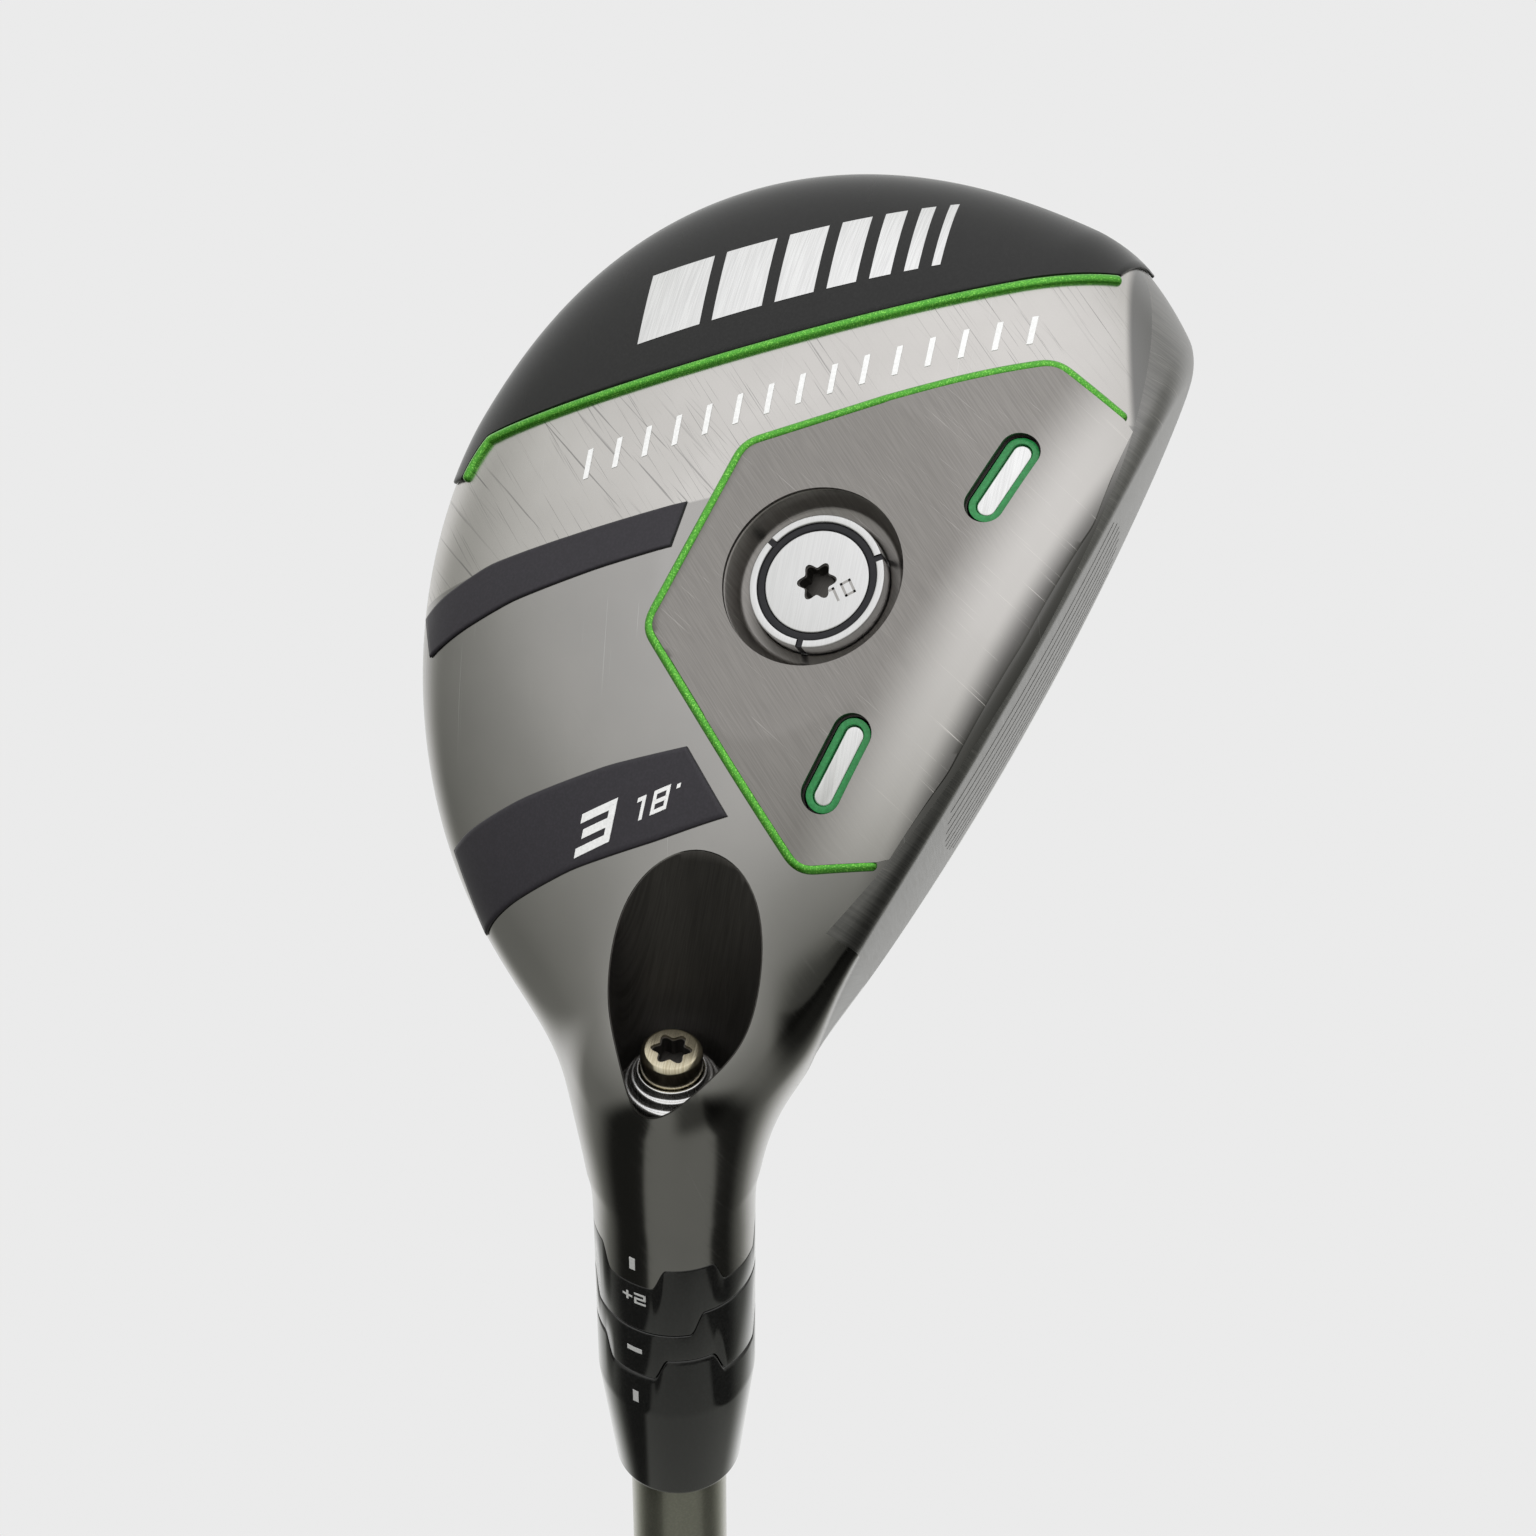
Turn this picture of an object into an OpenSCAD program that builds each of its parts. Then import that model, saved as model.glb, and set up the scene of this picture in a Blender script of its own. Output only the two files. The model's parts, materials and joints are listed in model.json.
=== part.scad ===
// Hybrid golf club with an adjustable hosel and a removable sole weight.
// Millimetres. +X points to the toe, +Y to the target, +Z up, with the club soled at address.
// The origin is the point of the sole that the club rests on, behind the weight.

/* [Club] */
// Lie: angle between the shaft and the ground
lie = 57.5; // [55:0.5:60]
// Loft: how far the face leans back
loft = 18; // [15:0.5:24]
// Distance along the shaft axis from the ground to the end of the grip
club_length = 1018; // [950:1:1050]

/* [Head] */
// Reach of the head from its middle to the toe
toe_reach = 42.5; // [40:0.5:45]
// Reach of the head from its middle to the heel
heel_reach = 49.5; // [47:0.5:52]
// Reach of the head from its middle to the back
rear_reach = 45.5; // [42:0.5:48]
// Height of the skirt line over the sole's lowest point
skirt_height = 16; // [15:0.5:18]
// Height of the crown over the skirt line
crown_height = 23; // [21:0.5:24]
// Wall thickness of the cast body and the crown
wall = 1.2; // [1:0.1:1.6]
// Radius of the rounded edge round the face
edge_radius = 1.6; // [1:0.1:2]

/* [Hosel and adapter] */
// Outside diameter of the hosel, the cogs and the ferrule
hosel_d = 15.16; // [15:0.02:15.6]
// Outside diameter of the adapter sleeve
sleeve_d = 10.9; // [10.6:0.1:11]
// Running clearance on the radius between the sleeve and its bore
slide_gap = 0.05; // [0.03:0.01:0.09]
// Height of the teeth between hosel, cogs and ferrule
tooth_height = 2.9; // [2:0.1:3.2]
// Height of one cog
cog_height = 6.6; // [6:0.1:7]

/* [Weight] */
// Diameter of the recess round the sole weight
recess_d = 17.2; // [16:0.2:18]
// Diameter of the disc of the weight screw
weight_d = 9; // [8:0.2:9]

/* [Shaft and grip] */
// Diameter of the shaft's parallel tip
tip_d = 9.4; // [9:0.1:9.4]
// Diameter of the shaft's butt
butt_d = 15.2; // [14.6:0.1:15.6]
// Diameter of the grip at its cap end
grip_end_d = 26.8; // [25:0.1:28]
// Length of the grip
grip_length = 267; // [250:1:280]
// Diameter of the vent hole in the grip cap
vent_d = 3.8; // [3:0.1:5]

/* [Hidden] */
$fn = 64;

// Shaft axis: it crosses the ground at this point and rises towards the heel
axis_x = -37.46;
axis_y = 18.5;
// Distances along the shaft axis from the ground, in order from the sole to the butt
screw_face_s = 10.3;
washer_s = 14.2;
seat_s = 16.6;
seat_top_s = 18.4;
sleeve_end_s = 20;
fan_s = 29.6;
neck_top_s = 32;
rim_s = 35.1;
shaft_tip_s = 38.5;
parallel_tip = 90;
lie_cog_s = rim_s + cog_height;
ferrule_s = lie_cog_s + cog_height;
cone_s = ferrule_s + 5.2;
ferrule_end_s = cone_s + 14.4;
grip_start_s = club_length - grip_length;
liner_h = neck_top_s - seat_s;
hosel_r = hosel_d / 2;
sleeve_r = sleeve_d / 2;
bore_r = sleeve_r + slide_gap;
tip_r = tip_d / 2;
cog_gap = 0.04;
tooth_side_gap = 0.6;

// Outline of the head seen from above: two halves of a rounded oval about this middle
plan_x = 2;
plan_y = 12.5;
front_reach = 31;
front_power = 1.62;
toe_power = 2.3;
heel_power = 1.8;
// The skirt line rises to the front, and the oval's lowest point dips just under the ground
skirt_slope = 0.116;
sole_dip = 0.3;
sole_power = 2.3;
crown_power = 2;
// The pad stands this proud of the casting, whose bottom is cut flat to match
pad_height = 0.5;
// Leading edge, and the radii of the face from heel to toe and from sole to crown
face_y = 32.2;
face_z = 3.7;
face_mid = 16;
bulge_radius = 305;
roll_radius = 300;
neck_blend = 18;
neck_fade = 9;
neck_bottom_s = 14;

function smooth_max(a, b, r) = min(-r, max(a, b)) + norm([max(r + a, 0), max(r + b, 0)]);
function smooth_min(a, b, k) =
  let (h = k > 0 ? max(k - abs(a - b), 0) / k : 0)
  min(a, b) - h * h * h * k / 6;

// Share of the way from the middle to the outline: 0 at the middle, 1 on the outline
function plan_share(x, y) =
  let (
    dx = x - plan_x,
    dy = y - plan_y,
    reach_x = dx > 0 ? toe_reach : heel_reach,
    reach_y = dy > 0 ? front_reach : rear_reach,
    power = dy > 0 ? front_power : dx > 0 ? toe_power : heel_power
  )
  pow(pow(abs(dx) / reach_x, power) + pow(abs(dy) / reach_y, power), 1 / power);
function skirt_z(y) = skirt_height + skirt_slope * y;

// Signed distance rules, negative inside: the oval body, the face and the neck
function body_rule(p) =
  let (
    dz = p.z - skirt_z(p.y),
    low = dz < 0,
    power = low ? sole_power : crown_power,
    height = low ? skirt_z(p.y) + sole_dip : crown_height,
    share = pow(pow(plan_share(p.x, p.y), power) + pow(abs(dz) / height, power), 1 / power)
  )
  max(norm([p.x - plan_x, p.y - plan_y, dz]) * (1 - 1 / max(share, 0.001)), pad_height - p.z);
function face_rule(p) =
  let (
    up = (p.z - face_z) * cos(loft) - (p.y - face_y) * sin(loft) - face_mid,
    out = (p.y - face_y) * cos(loft) + (p.z - face_z) * sin(loft)
  )
  out + p.x * p.x / (2 * bulge_radius) + (up * up - face_mid * face_mid) / (2 * roll_radius);
function along_axis(p) = -(p.x - axis_x) * cos(lie) + p.z * sin(lie);
function axis_point(s) = [axis_x - s * cos(lie), axis_y, s * sin(lie)];
function neck_rule(p) = norm(p - axis_point(max(along_axis(p), neck_bottom_s))) - hosel_r;
function head_rule(p) =
  let (
    head = smooth_max(body_rule(p), face_rule(p), edge_radius),
    fade = max(0, min(1, (rim_s - along_axis(p)) / neck_fade)),
    neck = neck_rule(p),
    h = max(neck_blend - abs(head - neck), 0) / neck_blend
  )
  min(head, neck) - fade * h * h * h * neck_blend / 6;

// Where a ray from inside the head meets its surface
function ray_hit(from, way, near = 0, far = 75, steps = 18) =
  steps == 0 ? (near + far) / 2 :
  let (mid = (near + far) / 2, inside = head_rule(from + way * mid) < 0)
  ray_hit(from, way, inside ? mid : near, inside ? far : mid, steps - 1);
function head_normal(p) =
  let (e = 0.02, here = head_rule(p))
  let (g = [for (a = [[e, 0, 0], [0, e, 0], [0, 0, e]]) head_rule(p + a) - here])
  g / norm(g);

// Sections of the head: planes square to the shaft axis in the neck, which fan round a pivot over
// the crown and end square to X at the toe. Each is [middle, downward direction].
pivot_r = 26;
neck_side = [sin(lie), 0, cos(lie)];
pivot = axis_point(fan_s) + neck_side * pivot_r;
middle_y = 7.5;
middle_z = 17.7;
toe_x = plan_x + toe_reach;
neck_sections = 3;
fan_sections = 7;
body_sections = 21;
function ease(f) = f * f * (3 - 2 * f);
function fan_section(f) =
  let (
    a = 270 - lie * (1 - f),
    way = [cos(a), 0, sin(a)],
    reach = pivot_r + (pivot.z - middle_z - pivot_r) * f,
    at = pivot + way * reach
  )
  [[at.x, axis_y + (middle_y - axis_y) * ease(f), at.z], way];
function body_section(f) =
  let (
    x = pivot.x + (toe_x - pivot.x) * sin(f * 89.2),
    toe_share = (x - pivot.x) / (toe_x - pivot.x)
  )
  [
    [
      x,
      middle_y + (plan_y - middle_y) * pow(toe_share, 3),
      middle_z + (skirt_z(plan_y) - middle_z) * pow(toe_share, 2)
    ],
    [0, 0, -1]
  ];
SECTIONS = concat(
  [
    for (k = [0:neck_sections - 1])
      [axis_point(neck_top_s + (fan_s - neck_top_s) * k / neck_sections), -neck_side]
  ],
  [for (k = [0:fan_sections - 1]) fan_section(k / fan_sections)],
  [for (k = [0:body_sections]) body_section(k / body_sections)]
);
// Directions round a section, measured from straight down towards the face:
// the face cup, then the crown, then the skirt and sole
face_from = 60;
face_to = 141;
crown_to = 273;
face_steps = 8;
crown_steps = 14;
sole_steps = 16;
ANGLES = concat(
  [for (k = [0:face_steps - 1]) face_from + (face_to - face_from) * k / face_steps],
  [for (k = [0:crown_steps - 1]) face_to + (crown_to - face_to) * k / crown_steps],
  [for (k = [0:sole_steps - 1]) crown_to + (360 + face_from - crown_to) * k / sole_steps]
);
rows = len(SECTIONS);
columns = len(ANGLES);
SKIN = [
  for (section = SECTIONS)
    for (a = ANGLES)
      let (way = section[1] * cos(a) + [0, sin(a), 0])
      section[0] + way * ray_hit(section[0], way)
];
toe_tip = [toe_x - 0.02, plan_y, skirt_z(plan_y)];
crown_first = 2;
face_first = neck_sections + fan_sections + 1;
toe_first = rows - 3;

// One closed panel of the head's skin, wall thick: the cells that keep(row, column) names,
// with the toe's end cap if asked
module skin_panel(thickness, keep, toe_cap = false) {
  inner = [for (p = SKIN) p - head_normal(p) * thickness];
  count = rows * columns;
  function at(i, j) = i * columns + (j + columns) % columns;
  function kept(i, j) = i >= 0 && i < rows - 1 && keep(i, (j + columns) % columns);
  cells = [for (i = [0:rows - 2]) for (j = [0:columns - 1]) if (keep(i, j)) [i, j]];
  tips = [toe_tip, toe_tip - [thickness, 0, 0]];
  last = rows - 1;
  faces = concat(
    [for (c = cells) [at(c[0], c[1]), at(c[0], c[1] + 1), at(c[0] + 1, c[1] + 1)]],
    [for (c = cells) [at(c[0], c[1]), at(c[0] + 1, c[1] + 1), at(c[0] + 1, c[1])]],
    [for (c = cells) [for (q = [[1, 1], [0, 1], [0, 0]]) count + at(c[0] + q[0], c[1] + q[1])]],
    [for (c = cells) [for (q = [[1, 0], [1, 1], [0, 0]]) count + at(c[0] + q[0], c[1] + q[1])]],
    [
      for (c = cells)
        let (i = c[0], j = c[1])
        for (side = [
          [kept(i, j - 1), at(i + 1, j), at(i, j)],
          [kept(i, j + 1), at(i, j + 1), at(i + 1, j + 1)],
          [kept(i - 1, j), at(i, j), at(i, j + 1)],
          [kept(i + 1, j) || (toe_cap && i == last - 1), at(i + 1, j + 1), at(i + 1, j)]
        ])
          if (!side[0])
            for (t = [[0, 2, 1], [1, 2, 3]])
              [for (k = t) [side[1], side[2], side[1] + count, side[2] + count][k]]
    ],
    toe_cap ? [for (j = [0:columns - 1]) [at(last, j), at(last, j + 1), 2 * count]] : [],
    toe_cap ? [for (j = [0:columns - 1])
      [count + at(last, j + 1), count + at(last, j), 2 * count + 1]] : []
  );
  polyhedron(concat(SKIN, inner, tips), [for (f = faces) [f[2], f[1], f[0]]]);
}
function on_crown(i, j) =
  i >= crown_first && i < toe_first && j >= face_steps && j < face_steps + crown_steps;
function on_face(i, j) = i >= face_first && i < toe_first && j < face_steps;

// Height of the sole under a point, and a point a given height off the sole
function sole_z(x, y) =
  let (share = min(plan_share(x, y), 1), skirt = skirt_z(y))
  max(
    pad_height,
    skirt - (skirt + sole_dip) * pow(1 - pow(share, sole_power), 1 / sole_power)
  );
function sole_point(p, height) =
  let (e = 0.05, z = sole_z(p.x, p.y))
  let (n = [(sole_z(p.x + e, p.y) - z) / e, (sole_z(p.x, p.y + e) - z) / e, -1])
  [p.x, p.y, z] + n / norm(n) * height;

// A point a share of the way along a run of straight lines
function run_lengths(points) = [for (k = [1:len(points) - 1]) norm(points[k] - points[k - 1])];
function total(v, k = 0) = k == len(v) ? 0 : v[k] + total(v, k + 1);
function run_point(points, distance, k = 0) =
  let (step = norm(points[k + 1] - points[k]))
  distance <= step || k == len(points) - 2
    ? points[k] + (points[k + 1] - points[k]) * min(distance / step, 1)
    : run_point(points, distance - step, k + 1);
function run_at(points, share) = run_point(points, share * total(run_lengths(points)));

// A thin panel that lies on the sole between two edges, from one height off it to another
module sole_panel(edge_a, edge_b, along, across, low, high) {
  grid = [
    for (height = [high, low])
      for (i = [0:along])
        for (j = [0:across])
          let (a = run_at(edge_a, i / along), b = run_at(edge_b, i / along))
          sole_point(a + (b - a) * j / across, height)
  ];
  layer = (along + 1) * (across + 1);
  function at(i, j) = i * (across + 1) + j;
  rim = concat(
    [for (i = [0:along - 1]) [at(i, 0), at(i + 1, 0)]],
    [for (j = [0:across - 1]) [at(along, j), at(along, j + 1)]],
    [for (i = [0:along - 1]) [at(i + 1, across), at(i, across)]],
    [for (j = [0:across - 1]) [at(0, j + 1), at(0, j)]]
  );
  faces = concat(
    [
      for (i = [0:along - 1])
        for (j = [0:across - 1])
          for (q = [
            [at(i, j), at(i, j + 1), at(i + 1, j + 1)],
            [at(i, j), at(i + 1, j + 1), at(i + 1, j)],
            [layer + at(i + 1, j + 1), layer + at(i, j + 1), layer + at(i, j)],
            [layer + at(i + 1, j), layer + at(i + 1, j + 1), layer + at(i, j)]
          ])
            q
    ],
    [for (e = rim) [e[0], e[1], layer + e[0]]],
    [for (e = rim) [e[1], layer + e[1], layer + e[0]]]
  );
  to_b = edge_b[0] - edge_a[0];
  ahead = edge_a[1] - edge_a[0];
  mirrored = ahead.x * to_b.y - ahead.y * to_b.x > 0;
  polyhedron(grid, mirrored ? faces : [for (f = faces) [f[2], f[1], f[0]]]);
}

// Lines of the sole's layout, as seen from above
panel_share = 0.97;
pad_rear_edge = [[-19.6, 28.4], [-23.4, 22.9], [-10.6, -0.6], [8.2, -1.3], [27.3, 19.6], [26.2, 27.4]];
pad_front_edge = [[-19.2, 29.2], [-10, 30.6], [3, 31], [16, 30.4], [25.8, 28.2]];
trim_rear_line = [for (k = [0:12])
  let (f = k / 12) [39.4 - 39.8 * f, 18.4 - 47.2 * f + 5.6 * f * (1 - f)]];
rear_panel_outline = [for (k = [0:12])
  let (a = -7 + 97 * k / 12)
    [
      plan_x + toe_reach * panel_share * pow(cos(a), 2 / toe_power),
      plan_y - (a < 0 ? -front_reach : rear_reach) * panel_share * pow(abs(sin(a)), 2 / toe_power)
    ]];
toe_stripe_a = [[1.3, -4.1], [-6.4, -14], [-11.5, -20], [-17, -24.2]];
toe_stripe_b = [[-3.1, -3.2], [-7.7, -9], [-13.8, -16], [-20.6, -21.6]];
heel_stripe_a = [[-18.9, 8.4], [-23.5, 2], [-29.6, -5.2], [-34.6, -9.4]];
heel_stripe_b = [[-22.8, 15.1], [-27.8, 9.6], [-33.3, 2.9], [-38.8, -2.6]];
function beside(points, offset) = [
  for (k = [0:len(points) - 1])
    let (d = points[min(k + 1, len(points) - 1)] - points[max(k - 1, 0)])
    points[k] + [-d.y, d.x] / norm(d) * offset
];

// Weight, struts and the pocket of the hosel screw
weight_x = 0;
weight_y = 11;
strut_x = [15.8, -14.2];
strut_y = 22;
strut_length = 9.1;
strut_width = 3.1;
pocket_r = 6.1;
pocket_y = 17.8;

module on_axis(s) {
  translate(axis_point(s)) rotate([0, lie - 90, 0]) children();
}
module tube(r_out, r_in, h) {
  difference() {
    cylinder(r = r_out, h = h);
    translate([0, 0, -1]) cylinder(r = r_in, h = h + 2);
  }
}
// A bar with round ends, lying along X
module slot_bar(length, width, z_from, z_to) {
  translate([0, 0, z_from]) {
    for (side = [-1, 1])
      translate([side * (length - width) / 2, 0, 0])
        cylinder(d = width, h = z_to - z_from, $fn = 32);
    translate([-(length - width) / 2, -width / 2, 0])
      cube([length - width, width, z_to - z_from]);
  }
}
module at_struts() {
  for (x = strut_x) translate([x, strut_y, 0]) children();
}
module at_weight() {
  translate([weight_x, weight_y, 0]) children();
}
// Six-lobe driver recess
module driver_recess(r, depth) {
  translate([0, 0, -1]) {
    cylinder(r = r * 0.74, h = depth + 1);
    for (k = [0:5])
      rotate([0, 0, 60 * k]) translate([r * 0.72, 0, 0]) cylinder(r = r * 0.26, h = depth + 1, $fn = 24);
  }
}
// Sectors where the joints between the hosel, the cogs and the ferrule step towards the head,
// and where they step away from it
FOUR_LOW = [for (k = [0:3]) 42 + 90 * k];
FOUR_HIGH = [for (k = [0:3]) 87 + 90 * k];
TWO_LOW = [82, 262];
TWO_HIGH = [172, 352];
// Sector of a tube wall, centred on an angle
module sector(middle, width, h) {
  rotate([0, 0, middle - width / 2])
    rotate_extrude(angle = width) translate([bore_r - 1, 0]) square([4, h]);
}

// ---- Head ----
module screw_pocket() {
  on_axis(-14) cylinder(r = pocket_r, h = seat_s + 14);
  for (x = [-32.6, -42]) translate([x, pocket_y, -1]) cylinder(r = pocket_r, h = 9);
  translate([-42, pocket_y - pocket_r, -1]) cube([9.4, 2 * pocket_r, 9]);
}
module body_casting() {
  color("dimgray") difference() {
    skin_panel(wall, function(i, j) !on_crown(i, j) && !on_face(i, j), true);
    screw_pocket();
    at_weight() translate([0, 0, -1]) cylinder(r = recess_d / 2 + 0.8, h = 4);
    at_struts() slot_bar(strut_length + 0.2, strut_width + 0.2, -1, 6);
    on_axis(seat_s) cylinder(r = hosel_r - 1.2, h = 30);
  }
}
module face_cup() {
  color("gray") skin_panel(wall + 0.8, function(i, j) on_face(i, j));
}
module crown() {
  color("black") skin_panel(wall, function(i, j) on_crown(i, j));
}
module sole_pad() {
  color("dimgray") difference() {
    sole_panel(pad_rear_edge, pad_front_edge, 26, 9, 0.05, pad_height);
    at_weight() translate([0, 0, -1]) cylinder(r = recess_d / 2, h = 4);
    at_struts() slot_bar(strut_length + 0.2, strut_width + 0.2, -2, 6);
  }
}
module rear_panel() {
  color("black") sole_panel(beside(trim_rear_line, 0.65), rear_panel_outline, 24, 8, 0.15, 0.4);
}
module rear_trim_line() {
  color("limegreen")
    sole_panel(beside(trim_rear_line, -0.6), beside(trim_rear_line, 0.5), 24, 1, 0.12, 0.45);
}
module pad_trim_line() {
  color("limegreen")
    sole_panel(beside(pad_rear_edge, -1.3), beside(pad_rear_edge, -0.15), 40, 1, 0.1, 0.45);
}
module toe_side_stripe() {
  color("darkslategray") sole_panel(toe_stripe_a, toe_stripe_b, 12, 4, 0.1, 0.3);
}
module heel_side_stripe() {
  color("darkslategray") sole_panel(heel_stripe_a, heel_stripe_b, 12, 5, 0.1, 0.3);
}
module strut_rims() {
  color("limegreen") at_struts() difference() {
    slot_bar(strut_length, strut_width, 0.9, 3);
    slot_bar(strut_length - 1.6, strut_width - 1.6, 0, 4);
  }
}
module strut_caps() {
  color("silver") at_struts() slot_bar(strut_length - 1.64, strut_width - 1.64, 1.1, 3);
}
module struts() {
  color("slategray") at_struts()
    translate([0, 0, 3.4]) rotate([loft, 0, 0]) slot_bar(strut_length - 1, strut_width - 1, 0, 31);
}
module weight_port() {
  color("gray") at_weight() difference() {
    translate([0, 0, pad_height + 0.05]) cylinder(r = recess_d / 2 + 0.75, h = 12);
    cylinder(r = recess_d / 2, h = 2.9);
    cylinder(r = 6.35, h = 4.6);
    cylinder(r = weight_d / 2 + 0.95, h = 5);
    cylinder(r = 3.05, h = 11);
  }
}
module weight_collar() {
  color("silver") at_weight() difference() {
    translate([0, 0, 1.4]) tube(6.33, weight_d / 2 + 0.95, 3.1);
    for (a = [20, 140, 260]) rotate([0, 0, a]) translate([5, -0.25, 0]) cube([3, 0.5, 2]);
  }
}
module weight_seal() {
  color("black") at_weight()
    translate([0, 0, 1.6]) tube(weight_d / 2 + 0.9, weight_d / 2 + 0.05, 1.5);
}
module weight_screw() {
  color("silver") at_weight() difference() {
    union() {
      translate([0, 0, 1.4]) cylinder(d = weight_d, h = 2.2);
      translate([0, 0, 3.6]) cylinder(r = 3, h = 6.8);
    }
    translate([0, 0, 1.4]) driver_recess(2.3, 1.8);
  }
}
module tungsten_mass() {
  color("darkgray") translate([-14, -14, 3.6]) cube([30, 8, 4.4]);
}
module hosel_liner() {
  color("dimgray") on_axis(seat_s) difference() {
    union() {
      cylinder(r = hosel_r - 1.25, h = liner_h + 0.1);
      translate([0, 0, liner_h + 0.02]) cylinder(r = hosel_r, h = rim_s - neck_top_s - tooth_height);
      intersection() {
        translate([0, 0, liner_h + 0.02]) cylinder(r = hosel_r, h = rim_s - neck_top_s - 0.04);
        for (a = FOUR_HIGH) translate([0, 0, liner_h]) sector(a, 45 - tooth_side_gap, 6);
      }
    }
    translate([0, 0, seat_top_s - seat_s]) cylinder(r = bore_r, h = 40);
    translate([0, 0, -1]) cylinder(r = 2.7, h = 10);
  }
}

// ---- Adapter: it slides on the shaft axis ----
// A ring between two toothed joints: from_low are the sectors where the joint below steps towards
// the head, and to_high are those where the joint above steps away from it
module toothed_ring(from_s, to_s, from_low, from_width, to_high, to_width) {
  on_axis(from_s) difference() {
    union() {
      translate([0, 0, cog_gap]) cylinder(r = hosel_r, h = to_s - from_s - tooth_height - cog_gap);
      intersection() {
        translate([0, 0, cog_gap - tooth_height]) cylinder(r = hosel_r, h = tooth_height + 0.5);
        for (a = from_low) translate([0, 0, -6]) sector(a, from_width - tooth_side_gap, 7);
      }
      intersection() {
        cylinder(r = hosel_r, h = to_s - from_s);
        for (a = to_high) sector(a, to_width - tooth_side_gap, 20);
      }
    }
    translate([0, 0, -10]) cylinder(r = bore_r, h = 40);
  }
}
module loft_cog() {
  color("black") toothed_ring(rim_s, lie_cog_s, FOUR_LOW, 45, TWO_HIGH, 90);
}
module lie_cog() {
  color("black") toothed_ring(lie_cog_s, ferrule_s, TWO_LOW, 90, FOUR_HIGH, 45);
}
module ferrule() {
  color("black") on_axis(ferrule_s) difference() {
    union() {
      translate([0, 0, cog_gap]) cylinder(r = hosel_r, h = cone_s - ferrule_s - cog_gap);
      intersection() {
        translate([0, 0, cog_gap - tooth_height]) cylinder(r = hosel_r, h = tooth_height + 0.5);
        for (a = FOUR_LOW) translate([0, 0, -6]) sector(a, 45 - tooth_side_gap, 7);
      }
      translate([0, 0, cone_s - ferrule_s])
        cylinder(r1 = hosel_r, r2 = 5.85, h = ferrule_end_s - cone_s);
    }
    translate([0, 0, -10]) cylinder(r = bore_r, h = 40);
  }
}
module adapter_sleeve() {
  color("silver") on_axis(sleeve_end_s) difference() {
    cylinder(r = sleeve_r, h = ferrule_end_s - sleeve_end_s - 1);
    translate([0, 0, shaft_tip_s - sleeve_end_s - 1]) cylinder(r = tip_r + 0.03, h = 60);
    translate([0, 0, -1]) cylinder(r = 2.55, h = 60);
  }
}
module hosel_screw() {
  color("darkkhaki") on_axis(screw_face_s) difference() {
    union() {
      cylinder(r = 2.9, h = washer_s - screw_face_s);
      cylinder(r = 2.5, h = 24);
    }
    driver_recess(1.95, 2.2);
  }
}
module screw_washer() {
  color("silver") on_axis(washer_s + 0.02) tube(4, 2.55, seat_s - washer_s - 0.04);
}
module screw_retainer() {
  color("gray") on_axis(seat_top_s + 0.1) tube(4.2, 2.55, 1.2);
}
module shaft() {
  color("darkolivegreen") on_axis(shaft_tip_s) difference() {
    union() {
      cylinder(r = tip_r, h = parallel_tip);
      translate([0, 0, parallel_tip])
        cylinder(r1 = tip_r, r2 = butt_d / 2, h = club_length - shaft_tip_s - parallel_tip - 3);
    }
    translate([0, 0, 6]) cylinder(r1 = tip_r - 1.6, r2 = butt_d / 2 - 0.9, h = club_length);
  }
}
module shaft_plug() {
  color("dimgray") on_axis(shaft_tip_s + 6.1) cylinder(r = tip_r - 1.7, h = 12);
}
// Radius of the shaft a distance along the axis
function shaft_r(s) =
  let (taper = club_length - shaft_tip_s - parallel_tip - 3)
  tip_r + (butt_d / 2 - tip_r) * max(0, s - shaft_tip_s - parallel_tip) / taper;
module grip_tape() {
  color("white") on_axis(grip_start_s + 4) difference() {
    cylinder(r1 = shaft_r(grip_start_s + 4) + 0.25, r2 = butt_d / 2 + 0.25, h = grip_length - 7);
    translate([0, 0, -1])
      cylinder(
        r1 = shaft_r(grip_start_s + 3) + 0.02, r2 = shaft_r(club_length - 2) + 0.02, h = grip_length - 5
      );
  }
}
module grip() {
  color("black") on_axis(grip_start_s) difference() {
    union() {
      cylinder(r1 = 8.9, r2 = 9.6, h = 12);
      translate([0, 0, 12]) cylinder(r1 = 9.6, r2 = grip_end_d / 2 - 0.6, h = grip_length - 20);
    }
    translate([0, 0, -1])
      cylinder(r1 = shaft_r(grip_start_s) + 0.3, r2 = butt_d / 2 + 0.3, h = grip_length);
  }
}
module grip_cap() {
  color("black") on_axis(club_length - 8) difference() {
    union() {
      translate([0, 0, 0.02]) cylinder(d = grip_end_d, h = 6);
      translate([0, 0, 6]) cylinder(r1 = grip_end_d / 2, r2 = grip_end_d / 2 - 2, h = 2);
    }
    translate([0, 0, -1]) cylinder(r = butt_d / 2 + 0.3, h = 6.2);
    translate([0, 0, -1]) cylinder(d = vent_d, h = 20);
  }
}

body_casting();
face_cup();
crown();
sole_pad();
rear_panel();
rear_trim_line();
pad_trim_line();
toe_side_stripe();
heel_side_stripe();
strut_rims();
strut_caps();
struts();
weight_port();
weight_collar();
weight_seal();
weight_screw();
tungsten_mass();
hosel_liner();
loft_cog();
lie_cog();
ferrule();
adapter_sleeve();
hosel_screw();
screw_washer();
screw_retainer();
shaft();
shaft_plug();
grip_tape();
grip();
grip_cap();
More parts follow.
